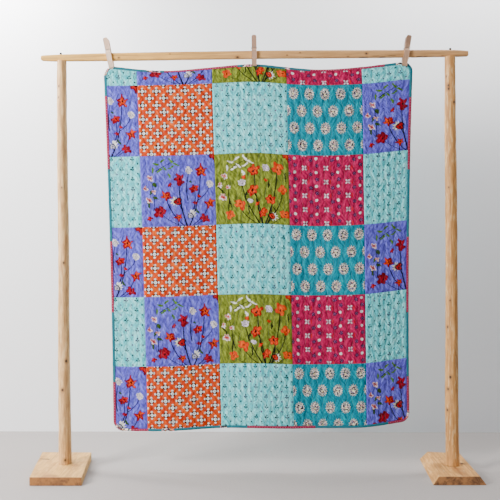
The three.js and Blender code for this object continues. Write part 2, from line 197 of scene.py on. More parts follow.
def round_corners(s, t):
    """Moves flat places near the throw's corners in from the square to the rounded edge."""
    s = s - BINDING_WIDTH
    wide = THROW_WIDTH - 2 * BINDING_WIDTH
    near = np.minimum(t, THROW_LENGTH - t) - BINDING_WIDTH
    short = np.clip(CORNER_RADIUS - near, 0, CORNER_RADIUS)
    inset = CORNER_RADIUS - np.sqrt(CORNER_RADIUS ** 2 - short ** 2)
    edge = np.minimum(s, wide - s)
    reach = 3 * CORNER_RADIUS
    moved = inset + edge * (reach - inset) / reach
    edge = np.where(edge < reach, moved, edge)
    return np.where(s < wide / 2, edge, wide - edge) + BINDING_WIDTH


def steps(start, end, step):
    """Even places from start to end, with extra ones round the throw's corners."""
    places = np.linspace(start, end, max(2, round((end - start) / step) + 1))
    arc = CORNER_RADIUS * (1 - np.cos(np.linspace(0, math.pi / 2, 8)))[1:-1]
    if start == BINDING_WIDTH:
        places = np.concatenate([places[:1], start + arc, places[places > start + CORNER_RADIUS]])
    if end == THROW_LENGTH - BINDING_WIDTH:
        places = np.concatenate([places[places < end - CORNER_RADIUS], end - arc[::-1], places[-1:]])
    return places


def linked(name, data):
    """An object in the scene that shows a mesh, a lamp or a camera."""
    piece = bpy.data.objects.new(name, data)
    bpy.context.scene.collection.objects.link(piece)
    return piece


def smooth_piece(name, mesh, sharp):
    """An object from a mesh, smooth but for edges sharper than an angle in degrees."""
    mesh.shade_smooth()
    mesh.set_sharp_from_angle(angle=math.radians(sharp))
    return linked(name, mesh)


def make_piece(name, points, faces, maps=None, sharp=50):
    """A smooth piece from points and faces, with its maps of flat places."""
    mesh = bpy.data.meshes.new(name)
    mesh.from_pydata(points.tolist(), [], faces if isinstance(faces, list) else faces.tolist())
    corners = np.zeros(len(mesh.loops), np.int32)
    mesh.loops.foreach_get("vertex_index", corners)
    for layer, places in (maps or {}).items():
        mesh.uv_layers.new(name=layer).uv.foreach_set("vector", places[corners].astype(np.float32).ravel())
    return smooth_piece(name, mesh, sharp)


def tube_faces(rings, around, base=0):
    """Faces of a closed tube of equal rings, with a flat cap at either end."""
    faces = []
    for ring in range(rings - 1):
        for k in range(around):
            a = base + ring * around + k
            b = base + ring * around + (k + 1) % around
            faces.append([a, b, b + around, a + around])
    last = base + (rings - 1) * around
    faces.append([base + k for k in reversed(range(around))])
    faces.append([last + k for k in range(around)])
    return faces


def turn_outward(piece):
    """Turns every face of a closed piece to look outwards."""
    shape = bmesh.new()
    shape.from_mesh(piece.data)
    bmesh.ops.recalc_face_normals(shape, faces=shape.faces)
    shape.to_mesh(piece.data)
    shape.free()


def slab(name, s, t, front, back, maps):
    """Closed thin cloth over a grid of flat places, between two depths."""
    rows, columns = s.shape
    points = np.concatenate([hang(s, t, front).reshape(-1, 3), hang(s, t, back).reshape(-1, 3)])
    index = np.arange(rows * columns).reshape(rows, columns)
    a, b, c, d = index[:-1, :-1], index[:-1, 1:], index[1:, 1:], index[1:, :-1]
    face = np.stack([a, d, c, b], -1).reshape(-1, 4)
    rim = np.concatenate([index[0, :-1], index[:-1, -1], index[-1, :0:-1], index[:0:-1, 0]])
    after = np.roll(rim, -1)
    under = rows * columns
    wall = np.stack([rim, after, after + under, rim + under], -1)
    faces = np.concatenate([face, face[:, ::-1] + under, wall])
    both = {layer: np.tile(places.reshape(-1, 2), (2, 1)) for layer, places in maps.items()}
    return make_piece(name, points, faces, both)


class Field:
    """A number or colour that changes over a surface. Arithmetic on it adds Math nodes."""

    def __init__(self, finish, socket):
        self.finish = finish
        self.socket = socket

    def out(self, index):
        return Field(self.finish, self.socket.node.outputs[index])

    def math(self, operation, *others, clamp=False):
        settings = {"operation": operation, "use_clamp": clamp}
        return self.finish.node("ShaderNodeMath", settings, (self, *others))

    def clamped(self, gain=1.0):
        """This times a gain, kept between 0 and 1."""
        return self.math("MULTIPLY", gain, clamp=True)

    def __add__(self, other):
        return self.math("ADD", other)

    __radd__ = __add__

    def __mul__(self, other):
        return self.math("MULTIPLY", other)

    __rmul__ = __mul__

    def __sub__(self, other):
        return self.math("SUBTRACT", other)

    def __rsub__(self, other):
        return self.finish.node("ShaderNodeMath", {"operation": "SUBTRACT"}, (other, self))

    def __abs__(self):
        return self.math("ABSOLUTE")

    def within(self, reach, soft=0.8 * MM):
        """1 where this is less than reach, 0 past it, with a soft edge."""
        return ((reach - self) * (1 / soft)).math("ADD", 0.5, clamp=True)


def joined(fields):
    """The largest of several fields at each place, so that painted shapes run together."""
    found = fields[0]
    for field in fields[1:]:
        found = found.math("MAXIMUM", field)
    return found


def tint(code):
    """A colour written as six hex digits, as Blender's linear values."""
    parts = [int(code[k:k + 2], 16) / 255 for k in (0, 2, 4)]
    linear = [c / 12.92 if c <= 0.04045 else ((c + 0.055) / 1.055) ** 2.4 for c in parts]
    return (*linear, 1.0)


class Finish:
    """A material under way. The method node makes every node in it."""

    def __init__(self, name):
        self.material = bpy.data.materials.new(name)
        self.material.use_nodes = True
        self.tree = self.material.node_tree
        self.tree.nodes.clear()

    def node(self, kind, settings, inputs, output=0):
        """Adds a node with its settings and its inputs, each a value or a field, and gives one output."""
        made = self.tree.nodes.new(kind)
        for key, value in settings.items():
            if key == "stops":
                made.color_ramp.elements[1].position = value[-1][0]
                for place, _ in value[1:-1]:
                    made.color_ramp.elements.new(place)
                for element, (place, colour) in zip(made.color_ramp.elements, value):
                    element.position = place
                    element.color = colour
            else:
                setattr(made, key, value)
        for key, value in inputs.items() if isinstance(inputs, dict) else enumerate(inputs):
            if isinstance(value, Field):
                self.tree.links.new(value.socket, made.inputs[key])
            else:
                made.inputs[key].default_value = value
        return Field(self, made.outputs[output]) if made.outputs else None

    def mix(self, factor, a, b, blend="MIX"):
        """Two colours mixed by a factor, each of them a field or six hex digits."""
        settings = {"data_type": "RGBA", "blend_type": blend}
        a, b = (tint(colour) if isinstance(colour, str) else colour for colour in (a, b))
        return self.node("ShaderNodeMix", settings, {0: factor, 6: a, 7: b}, 2)

    def ramp(self, field, *stops):
        """Colours along a field from 0 to 1, each stop a share of the way and six hex digits."""
        stops = [(share, tint(code)) for share, code in stops]
        return self.node("ShaderNodeValToRGB", {"stops": stops}, (field,))

    def solid_place(self):
        """Place inside the piece, for wood and metal that are the same stuff right through."""
        return self.node("ShaderNodeTexCoord", {}, {}, 3)

    def flat_place(self, layer="cloth"):
        """Place on the flat cloth, from one of the piece's own maps."""
        return self.node("ShaderNodeUVMap", {"uv_map": layer}, {})

    def noise(self, place, scale, detail=2, roughness=0.5, distortion=0.0):
        inputs = {"Vector": place, "Scale": scale, "Detail": detail, "Roughness": roughness}
        return self.node("ShaderNodeTexNoise", {}, {**inputs, "Distortion": distortion})

    def stretched(self, place, scale, turn=0.0):
        """Coordinates stretched and turned for streaks, grain and strokes."""
        return self.node("ShaderNodeMapping", {}, {"Vector": place, "Scale": scale, "Rotation": (0, 0, turn)})

    def placed(self, place, x, y, turn, wide, tall):
        """Coordinates of a motif that lies at x, y with its own turn and half sizes."""
        inputs = {"Location": (x, y, 0), "Rotation": (0, 0, turn), "Scale": (wide, tall, 1)}
        return self.node("ShaderNodeMapping", {"vector_type": "TEXTURE"}, {"Vector": place, **inputs})

    def wobbled(self, flat, scale, reach):
        """Coordinates that sway to and fro by a reach, as painted and printed lines do."""
        inputs = {"Vector": flat, "Scale": scale}
        sway = self.node("ShaderNodeTexNoise", {"noise_dimensions": "2D"}, inputs, 1)
        moved = (sway, (reach, reach, 0), flat)
        flat = self.node("ShaderNodeVectorMath", {"operation": "MULTIPLY_ADD"}, moved)
        return self.node("ShaderNodeVectorMath", {"operation": "SUBTRACT"}, (flat, (reach / 2, reach / 2, 0)))

    def length(self, place):
        return self.node("ShaderNodeVectorMath", {"operation": "LENGTH"}, (place,), 1)

    def parts(self, place):
        split = self.node("ShaderNodeSeparateXYZ", {}, (place,))
        return split, split.out(1), split.out(2)

    def shade(self, inputs, height, distance, strength):
        """Ends the material: its surface values, and a bump from a height."""
        bump = self.node("ShaderNodeBump", {}, {"Height": height, "Distance": distance, "Strength": strength})
        surface = self.node("ShaderNodeBsdfPrincipled", {}, {**inputs, "Normal": bump})
        self.node("ShaderNodeOutputMaterial", {}, {"Surface": surface})
        return self.material


WEAVE_PITCH = 0.9 * MM
STITCH_PITCH = 3.4 * MM
STITCH_HALF = 1.25 * MM
THREAD_HALF = 0.4 * MM
GROOVE_HALF = 1.0 * MM
PRINT_SWAY = 4 * MM
# Puckers between the quilting lines: their pitch, the way they run, and how much longer than wide
PUCKER_PITCH = 14 * MM
PUCKER_DOWN = 0.62
PUCKER_ACROSS = 0.78
PUCKER_STRETCH = 0.4
# Noise scales of the puckers and of the finer crumple of the cotton after washing
PUCKER_SCALE = 95.0
CRUMPLE_SCALE = 190.0


def cotton(name, draw, thread):
    """Printed quilting cotton: the print, a plain weave, puckers with painted shade along their ripples,
    creases and quilting grooves over a little uneven fading, and the quilting thread.
    """
    finish = Finish(name)
    flat = finish.flat_place()
    colour = draw(finish, finish.wobbled(flat, PUCKER_SCALE, PRINT_SWAY))
    across, down, _ = finish.parts(finish.flat_place("quilt"))
    off_line = abs(across.math("WRAP", 0.5, -0.5)) * LINE_PITCH
    groove_shade = off_line.within(GROOVE_HALF, 5 * MM)
    side = across.math("MODULO", 2.0).math("LESS_THAN", 1.0) * 2 - 1
    u, v, _ = finish.parts(flat)
    over = v * PUCKER_DOWN - u * side * PUCKER_ACROSS
    along = (u * PUCKER_DOWN + v * side * PUCKER_ACROSS) * PUCKER_STRETCH
    leaning = finish.node("ShaderNodeCombineXYZ", {}, (along, over, 0.0))
    folds = finish.noise(leaning, PUCKER_SCALE, 2, 0.45)
    crease = 1 - abs(folds - 0.5).clamped(9.0)
    crumple = finish.noise(flat, CRUMPLE_SCALE, 2)
    ripple = (over * (2 * math.pi / PUCKER_PITCH) + crumple * 6 + folds * 14).math("SINE") * 0.5 + 0.5
    # Painted shade: the puckers' ripples and folds lighten and darken the colour, and the quilting grooves
    # and creases are darkened, over a little uneven fading
    fade_and_painted_shade = (crumple - 0.5) * 0.6 + ripple * 0.22 + (folds - 0.5) * 0.4 + 0.86
    fade_and_painted_shade = fade_and_painted_shade.clamped() * (1 - groove_shade * 0.26) * (1 - crease * 0.16)
    grey = finish.node("ShaderNodeCombineColor", {}, (fade_and_painted_shade, fade_and_painted_shade, fade_and_painted_shade))
    colour = finish.mix(1.0, colour, grey, "MULTIPLY")
    dash = abs(down.math("WRAP", STITCH_PITCH / 2, -STITCH_PITCH / 2)).within(STITCH_HALF, 0.4 * MM)
    colour = finish.mix(off_line.within(THREAD_HALF, 0.3 * MM) * dash * 0.3, colour, thread)
    warp = (u * (2 * math.pi / WEAVE_PITCH)).math("SINE")
    weft = (v * (2 * math.pi / WEAVE_PITCH)).math("SINE")
    height = warp * weft * 0.04 + crumple * 0.9 + ripple * 0.9 - crease * 0.5
    return finish.shade(
        {"Base Color": colour, "Roughness": 0.95, "Specular IOR Level": 0.12, "Sheen Weight": 0.01},
        height, 2.8 * MM, 1.0,
    )


def plain_back(finish, drawn):
    """Pale aqua, faintly clouded."""
    return finish.mix(finish.noise(drawn, 16.0), "7ac6d0", "8fd6dc")


# Back sheet: its grid, the depth of its hidden face, of its outer face at the lines, what that gains
# between them, and the outer face's depth in a peg
BACK_COLUMNS = 251
BACK_STEP = 13 * MM
BACK_INSIDE = 0.2 * MM
BACK_THIN = 1.1 * MM
BACK_SWELL = 1.5 * MM
BACK_IN_PEG = 1.6 * MM
s_places = np.linspace(BINDING_WIDTH, THROW_WIDTH - BINDING_WIDTH, BACK_COLUMNS)
t_places = steps(BINDING_WIDTH, THROW_LENGTH - BINDING_WIDTH, BACK_STEP)
s, t = np.meshgrid(s_places, t_places)
s = round_corners(s, t)
line, share, width = channel(s, t)
swell = np.sin(np.pi * share) ** 0.7 * width / LINE_PITCH
squeezed = pinch(s, t)
behind = (BACK_THIN + BACK_SWELL * swell) * (1 - squeezed) + BACK_IN_PEG * squeezed
throw = slab(
    "throw_back", s, t, np.full_like(s, BACK_INSIDE), behind,
    {"cloth": np.stack([s, t], -1), "quilt": np.stack([line + share, t], -1)},
)
throw.data.materials.append(cotton("plain aqua cotton", plain_back, "e4ece8"))


# Patchwork: thirty squares and part squares of printed cotton, cut from six prints and pieced edge to
# edge, so the outer rows and columns are cut narrow. Each print sits the same way on all its squares.
ROWS = np.array([0, 78, 375, 671, 964, 1254, 1524]) * MM
PRINT_WIDE = 315 * MM
PRINT_TALL = 297 * MM
LAYOUT = (
    ("aqua", "violet", "green", "raspberry", "aqua"),
    ("violet", "orange", "aqua", "teal", "violet"),
)


def repeat(finish, flat, wide, tall, start):
    """Place from the middle of the nearest cell of a repeat, and a chance value for that cell."""
    u, v, _ = finish.parts(flat)
    u = u - start[0] * MM
    v = v - start[1] * MM
    x = u.math("WRAP", wide * MM / 2, -wide * MM / 2)
    y = v.math("WRAP", tall * MM / 2, -tall * MM / 2)
    across = ((u - x) * (1 / (wide * MM))).math("ROUND")
    down = ((v - y) * (1 / (tall * MM))).math("ROUND")
    cell = finish.node("ShaderNodeCombineXYZ", {}, (across, down, 0.0))
    chance = finish.node("ShaderNodeTexWhiteNoise", {"noise_dimensions": "2D"}, {"Vector": cell})
    return x, y, chance


def polar(finish, x, y):
    """Distance from the middle and the turn round it."""
    return finish.length(finish.node("ShaderNodeCombineXYZ", {}, (x, y, 0.0))), y.math("ARCTAN2", x)


def ground(finish, flat, scale, turn, *tones):
    """Streaky dyed ground through three tones, as the base of a print."""
    strokes = finish.noise(finish.stretched(flat, (1.0, 0.42, 1.0), turn), scale, 3)
    return finish.ramp(strokes, *zip((0.34, 0.5, 0.66), tones))


def aqua_print(finish, flat):
    """Pale aqua with little sprigs of three dark dots, and single dots between."""
    colour = ground(finish, flat, 75.0, 0.35, "52ccd8", "7ceaf0", "a6faff")
    x, y, chance = repeat(finish, flat, 44, 42, (18.5, 10))
    sprig = []
    for dx, dy, radius in ((0.6, -5.6, 3.1), (-5.4, 2.4, 3.3), (5.0, 2.8, 3.1), (-0.2, 7.4, 2.0)):
        away, _ = polar(finish, x - dx * MM, y - dy * MM)
        sprig.append(away.within(radius * MM))
    sprig.append(abs(x + y * 0.25).within(1.0 * MM) * abs(y).within(6 * MM))
    ink = finish.mix(chance.math("GREATER_THAN", 0.72), "0c1c26", "4a2450")
    colour = finish.mix(joined(sprig), colour, ink)
    x, y, chance = repeat(finish, flat, 44, 42, (41, 31.5))
    away, _ = polar(finish, x, y)
    ink = finish.mix(chance.math("GREATER_THAN", 0.55), "12222c", "5c2a6a")
    return finish.mix(away.within(3.4 * MM), colour, ink)


def orange_print(finish, flat):
    """Orange with a half-dropped lattice of four white petals round a white heart, inked in dark grey."""
    colour = ground(finish, flat, 60.0, -0.3, "c8340e", "e24a12", "f36c1c")
    for start in ((20, 27), (49.2, 56.2)):
        x, y, _ = repeat(finish, flat, 58.5, 58.5, start)
        away, _ = polar(finish, x, y)
        along = abs(x).math("MAXIMUM", abs(y))
        aside = abs(x).math("MINIMUM", abs(y))
        petal, _ = polar(finish, (along - 13.8 * MM) * (1 / (3.6 * MM)), aside * (1 / (5.0 * MM)))
        colour = finish.mix(petal.within(1.2, 0.2) * 0.5, colour, "521808")
        colour = finish.mix(away.within(11.4 * MM), colour, "0a0c0a")
        colour = finish.mix(petal.within(1.0, 0.15), colour, "f3f3ee")
        colour = finish.mix((along + aside * 0.8).within(8.4 * MM), colour, "f3f3f0")
        colour = finish.mix(away.within(1.6 * MM), colour, "0e100e")
    return colour


def teal_print(finish, flat):
    """Bright teal with staggered upright rosettes: a ragged fringe round dark, pale and pink scribbles."""
    colour = ground(finish, flat, 65.0, 0.3, "007c90", "0090a8", "00a4b4")
    scribble = finish.noise(flat, 165.0, 1)
    wash = finish.noise(finish.stretched(flat, (1.0, 1.0, 1.0), 1.0), 125.0, 1)
    for start in ((27, 41), (60, 113)):
        x, y, chance = repeat(finish, flat, 66, 144, start)
        away, turn = polar(finish, x * (1 / (22.5 * MM)), y * (1 / (27.5 * MM)))
        spikes = abs((turn * 7.5 + chance * 3).math("SINE"))
        edge = spikes * -0.26 + (y * (-0.1 / (28 * MM)) + 0.98)
        colour = finish.mix(away.within(edge + 0.06, 0.05) * 0.7, colour, "04242c")
        colour = finish.mix(away.within(edge, 0.05), colour, "f3f3e4")
        inside = away.within(edge - 0.1, 0.06)
        colour = finish.mix((wash - 0.53).clamped(22.0) * inside, colour, "8a80a4")
        colour = finish.mix((0.42 - wash).clamped(22.0) * inside * 0.8, colour, "ee909c")
        colour = finish.mix((0.5 - scribble).clamped(26.0) * inside, colour, "08080c")
        colour = finish.mix(away.within(0.17, 0.08) * 0.9, colour, "f3eab0")
    return colour


def raspberry_print(finish, flat):
    """Raspberry with pale four-petalled flowers, round white dots, small navy rings and red strokes."""
    colour = ground(finish, flat, 80.0, -0.25, "960e3e", "b81450", "d02266")
    for start in ((2, 20), (28, 42)):
        x, y, chance = repeat(finish, flat, 91, 58.3, start)
        away, turn = polar(finish, x, y)
        edge = (turn * 5 + chance * 6).math("SINE") * (1.4 * MM) + 8.0 * MM
        colour = finish.mix(away.within(edge), colour, "1c1438")
        colour = finish.mix(abs(away - 4.0 * MM).within(1.2 * MM) * 0.8, colour, "a0508a")
    x, y, _ = repeat(finish, flat, 91, 58.3, (84, 53))
    red = abs(x).within(2.4 * MM) * abs(y).within(9 * MM, 3 * MM)
    colour = finish.mix(red * 0.9, colour, "c80a0e")
    x, y, _ = repeat(finish, flat, 91, 58.3, (66, 53))
    away, turn = polar(finish, x, y)
    edge = (turn * 4).math("COSINE") * (-4.0 * MM) + 9.0 * MM
    colour = finish.mix(away.within(edge + 1.6 * MM) * 0.75, colour, "30061a")
    colour = finish.mix(away.within(edge), colour, "f3cfe0")
    bar = abs(x).within(1.4 * MM) * abs(y).within(6 * MM)
    cross = abs(y).within(1.2 * MM) * abs(x).within(7 * MM)
    colour = finish.mix(bar.math("MAXIMUM", cross), colour, "2a0620")
    x, y, _ = repeat(finish, flat, 91, 58.3, (25, 13))
    away, _ = polar(finish, x, y)
    return finish.mix(away.within(6.0 * MM), colour, "f3eef2")


def paint_stems(finish, flat, colour, stems, ink):
    """Stems that bend from a foot up to a flower: foot x, y, head x, y, bow to the side, half width."""
    u, v, _ = finish.parts(flat)
    for x0, y0, x1, y1, bow, half in stems:
        way = (v - y0 * MM) * (1 / ((y1 - y0) * MM))
        line = u - (way * ((x1 - x0) * MM) + way * (1 - way) * (bow * 4 * MM) + x0 * MM)
        on = abs(line).within((1.35 - way * 0.6) * (half * MM), 0.9 * MM) * abs(way - 0.5).within(0.5, 0.02)
        colour = finish.mix(on, colour, ink)
    return colour


def paint_leaves(finish, flat, colour, leaves, green):
    """Leaves: x, y, turn in degrees, half length, half width."""
    shapes = []
    for x, y, turn, long, wide in leaves:
        place = finish.placed(flat, x * MM, y * MM, math.radians(turn), long * MM, wide * MM)
        shapes.append(finish.length(place).within(1.0, 0.2))
    return finish.mix(joined(shapes), colour, green)


def blossoms(finish, flat, flowers, squash=0.92):
    """From each flower's x, y, turn in degrees and radius: places in its own petals, how far across
    them, how far from its heart, and the turn round it."""
    for x, y, turn, radius in flowers:
        place = finish.placed(flat, x * MM, y * MM, math.radians(turn), radius * MM, radius * squash * MM)
        px, py, _ = finish.parts(place)
        yield place, px, finish.length(place), py.math("ARCTAN2", px)


def paint_flowers(finish, flat, colour, flowers, outer, inner, heart, petals):
    """Flowers with uneven petals, lit from one side, and a dark heart. A negative number of petals
    makes them pointed."""
    for (_, px, away, around), flower in zip(blossoms(finish, flat, flowers), flowers):
        lobes = abs((around * (petals / 2)).math("SINE"))
        uneven = (around * 2 + flower[2]).math("SINE") * 0.1
        edge = lobes * -0.46 + (uneven + 1.0) if petals < 0 else lobes * 0.4 + (uneven + 0.58)
        colour = finish.mix(away.within(edge + 0.05, 0.08) * 0.7, colour, heart)
        colour = finish.mix(away.within(edge, 0.06), colour, outer)
        colour = finish.mix(away.within(edge - 0.32 - px * 0.3, 0.2) * 0.9, colour, inner)
        colour = finish.mix(away.within(0.16, 0.08), colour, heart)
    return colour


def paint_fringed(finish, flat, colour, flowers, fringe, middle, ink):
    """Shaggy flowers: a pale ragged fringe on one side, a dark ring and a middle."""
    for place, px, away, around in blossoms(finish, flat, flowers, 1.0):
        spikes = abs((around * 5.5).math("SINE"))
        colour = finish.mix(away.within(spikes * -0.4 + px * 0.3 + 0.88, 0.06), colour, fringe)
        centre = finish.placed(place, -0.14, 0.08, 0, 0.56, 0.56)
        reach = finish.length(centre)
        colour = finish.mix(reach.within(1.15, 0.15), colour, ink)
        colour = finish.mix(reach.within(0.85, 0.15), colour, middle)
        colour = finish.mix(reach.within(0.25, 0.12), colour, ink)
    return colour


def paint_round(finish, flat, colour, flowers, pale, shadow):
    """Round blossoms: pale ruffled petals with soft curls of shadow."""
    for _, _, away, around in blossoms(finish, flat, flowers):
        ruffle = abs((around * 4).math("SINE")) * 0.18 + 0.8
        colour = finish.mix(away.within(ruffle, 0.08), colour, pale)
        curl = (away * 13 + around * 2).math("SINE") * 0.5 + 0.3
        colour = finish.mix((away.within(0.78, 0.1) * curl).clamped(), colour, shadow)
    return colour


# Wobble of the brush in motifs that were painted by hand: noise scale and reach
BRUSH_SCALE = 42.0
BRUSH_SWAY = 18 * MM


def violet_print(finish, flat):
    """Violet blue meadow: red and orange flowers, shaggy and round pale ones on dark stems, green sprays."""
    colour = ground(finish, flat, 85.0, 0.5, "5450b8", "6864dc", "7e80f0")
    ink = "08081e"
    colour = paint_stems(finish, flat, colour, (
        (196, 300, 246, 74, 14, 2.4), (190, 300, 160, 104, -10, 2.6), (202, 300, 282, 202, 16, 2.2),
        (182, 300, 106, 172, -16, 2.3), (186, 300, 150, 190, 6, 2.0), (176, 300, 80, 232, -18, 2.0),
        (206, 300, 262, 262, 10, 1.8), (194, 190, 200, 74, -7, 1.8), (212, 240, 220, 140, 8, 2.0),
        (64, 66, 156, 18, -8, 2.6), (150, 300, 146, 262, 3, 1.8), (236, 190, 284, 128, 10, 1.8),
        (52, 230, 42, 96, 8, 1.5),
    ), ink)
    flat = finish.wobbled(flat, BRUSH_SCALE, BRUSH_SWAY)
    green = "4f7a1e"
    colour = paint_leaves(finish, flat, colour, (
        (70, 34, 20, 14, 5.5), (92, 24, -35, 13, 5), (104, 56, 38, 13, 5), (80, 62, -15, 13, 5),
        (128, 22, 60, 13, 5), (130, 50, -28, 13, 5), (150, 38, 20, 13, 5), (52, 62, 75, 12, 4.5),
        (118, 84, 60, 12, 4.5),
    ), green)
    colour = paint_leaves(finish, flat, colour, (
        (58, 122, 62, 14, 6), (40, 152, -50, 13, 6), (62, 176, 40, 14, 6), (30, 206, 75, 14, 5),
        (206, 112, 20, 8, 6), (232, 232, 70, 15, 4.5),
    ), "33501a")
    colour = paint_flowers(finish, flat, colour, (
        (250, 66, 200, 29), (106, 168, 20, 25), (152, 258, 160, 20), (284, 204, 120, 27),
    ), "8e0a12", "ee4a0d", "16060c", -5)
    colour = paint_flowers(finish, flat, colour, (
        (162, 100, 70, 28), (78, 236, 250, 28), (262, 266, 0, 22), (222, 200, 0, 10),
    ), "7c0616", "a80c26", "16060c", 5)
    colour = paint_flowers(finish, flat, colour, (
        (220, 140, 140, 20), (312, 4, 200, 30), (240, 172, 40, 9), (122, 124, 30, 10), (36, 262, 40, 12),
    ), "7c0616", "c81c14", "16060c", 5)
    colour = paint_round(finish, flat, colour, (
        (200, 64, 0, 15), (286, 122, 30, 17),
    ), "efe9ea", "7a6a90")
    colour = paint_fringed(finish, flat, colour, ((148, 194, 200, 25),), "f3ead0", "a80e16", ink)
    colour = paint_fringed(finish, flat, colour, ((206, 250, -30, 22),), "f3f3ee", "b8b4c8", ink)
    return paint_flowers(finish, flat, colour, (
        (40, 94, 0, 15), (22, 136, 50, 10), (52, 150, 20, 11), (36, 186, 80, 15),
    ), "f3dce0", "b00a26", "8c0a20", 4)


def green_print(finish, flat):
    """Olive green meadow: orange poppies, pale round blossoms and a white spray over dark grass."""
    colour = ground(finish, flat, 85.0, -0.45, "5a6820", "7e8c2e", "9aa83e")
    ink = "0c1204"
    colour = paint_stems(finish, flat, colour, (
        (206, 300, 262, 62, 12, 2.5), (198, 300, 168, 72, -10, 2.6), (190, 300, 112, 120, -14, 2.2),
        (210, 300, 284, 150, 16, 2.2), (196, 300, 160, 156, 8, 2.3), (182, 300, 100, 214, -16, 2.2),
        (214, 300, 238, 186, 8, 2.0), (64, 66, 156, 18, -8, 2.6), (54, 240, 42, 96, 8, 1.6),
        (222, 300, 292, 246, 10, 1.8), (150, 300, 60, 262, -10, 1.8),
    ), ink)
    flat = finish.wobbled(flat, BRUSH_SCALE, BRUSH_SWAY)
    colour = paint_leaves(finish, flat, colour, (
        (70, 34, 20, 15, 4.5), (92, 24, -35, 14, 4.5), (104, 56, 38, 14, 4.5), (80, 62, -15, 14, 4.5),
        (128, 22, 60, 14, 4.5), (130, 50, -28, 14, 4.5), (150, 38, 20, 14, 4.5), (52, 62, 75, 12, 4),
        (118, 84, 60, 13, 4.5),
    ), "f3f3ea")
    colour = paint_leaves(finish, flat, colour, (
        (24, 150, 70, 20, 3.4), (140, 240, 100, 22, 3.4), (250, 244, 80, 22, 3.4), (128, 180, 95, 20, 3.4),
        (298, 96, 85, 20, 3), (224, 132, 110, 18, 3), (62, 206, 75, 20, 3.4),
    ), "1a2408")
    colour = paint_flowers(finish, flat, colour, (
        (264, 62, 200, 28), (284, 150, 130, 22), (104, 214, 20, 26), (62, 256, 250, 20), (292, 252, 0, 21),
    ), "e03a14", "f3641a", "6a1010", 4)
    colour = paint_flowers(finish, flat, colour, (
        (164, 72, 80, 28), (158, 156, 140, 26), (232, 192, 300, 24), (200, 250, 160, 22), (312, 4, 200, 30),
    ), "b01410", "f04a14", "28060a", 5)
    colour = paint_flowers(finish, flat, colour, (
        (214, 112, 40, 10), (122, 100, 60, 9), (176, 212, 10, 9),
    ), "c0140c", "f0400d", "500810", 4)
    colour = paint_round(finish, flat, colour, (
        (112, 124, 0, 17), (216, 62, 30, 16), (148, 200, 60, 12),
    ), "ece0ee", "806a8c")
    colour = paint_fringed(finish, flat, colour, ((240, 262, 20, 21),), "f3ece2", "d8301a", ink)
    return paint_flowers(finish, flat, colour, (
        (40, 94, 0, 15), (22, 128, 50, 12), (54, 140, 20, 11), (34, 182, 80, 17),
    ), "f3ecea", "d8200f", "a00c12", 6)


PRINTS = {
    "aqua": cotton("aqua sprigged cotton", aqua_print, "dfeeee"),
    "violet": cotton("violet meadow cotton", violet_print, "c9c9ea"),
    "orange": cotton("orange lattice cotton", orange_print, "f0d9cc"),
    "teal": cotton("teal rosette cotton", teal_print, "bfe2e2"),
    "raspberry": cotton("raspberry flowered cotton", raspberry_print, "ecc3d2"),
    "green": cotton("green meadow cotton", green_print, "dfe0bd"),
}
PATCH_STEP = (3.0 * MM, 4.3 * MM)
PATCH_INSIDE = -0.1 * MM
# Face of a patch: its depth at a stitched line, the dip at a seam, the pressed seam allowance beside it,
# the waves that pull across the channels, and its depth where a peg squeezes it
PATCH_FACE = 0.8 * MM
SEAM_HALF = 2.6 * MM
SEAM_DIP = 0.4 * MM
ALLOWANCE = 6.5 * MM
ALLOWANCE_FADE = 1.5 * MM
ALLOWANCE_TALL = 0.55 * MM
CROSS_WAVE = 20 * MM
CROSS_SLANT = 1.1
FACE_IN_PEG = 2.6 * MM


def patch_face(s, t, left, right, top, foot):
    """Depth of a patch's face: soft channels, cross puckers, and a dip along each seam."""
    line, share, width = channel(s, t)
    arch = np.sin(np.pi * share)
    swell = (0.6 + 2.0 * width / LINE_PITCH) * arch ** 0.75
    slant = np.where(line % 2 == 0, -CROSS_SLANT, CROSS_SLANT)
    cross = np.sin(2 * np.pi * (t + slant * s) / CROSS_WAVE + 3.1 * line + 1.4 * np.sin(t / (23 * MM) + line))
    lumps_across = np.sin(s / (9 * MM) + 2 * np.sin(t / (31 * MM)))
    lumps = lumps_across * np.sin(t / (12 * MM) + 1.7 * np.sin(s / (27 * MM)))
    relief = (swell + 0.95 * cross * (0.3 + arch * (1 - arch) * 2.6) + 0.3 * lumps * arch) * MM
    pressed = 0
    dip = 0
    # Seam allowances are pressed to the right and down, so they lie under the left and top edges of a patch
    edges = ((s - left, left > BINDING_WIDTH), (right - s, False),
             (t - top, top > BINDING_WIDTH), (foot - t, False))
    for away, has_allowance in edges:
        dip = np.maximum(dip, np.exp(-((away / SEAM_HALF) ** 2)))
        if has_allowance:
            pressed = np.maximum(pressed, np.clip((ALLOWANCE - away) / ALLOWANCE_FADE, 0, 1) * (1 - dip))
    depth = PATCH_FACE + relief * (1 - 0.9 * dip) + ALLOWANCE_TALL * pressed - SEAM_DIP * dip
    squeezed = pinch(s, t)
    return -(depth * (1 - squeezed) + FACE_IN_PEG * squeezed)


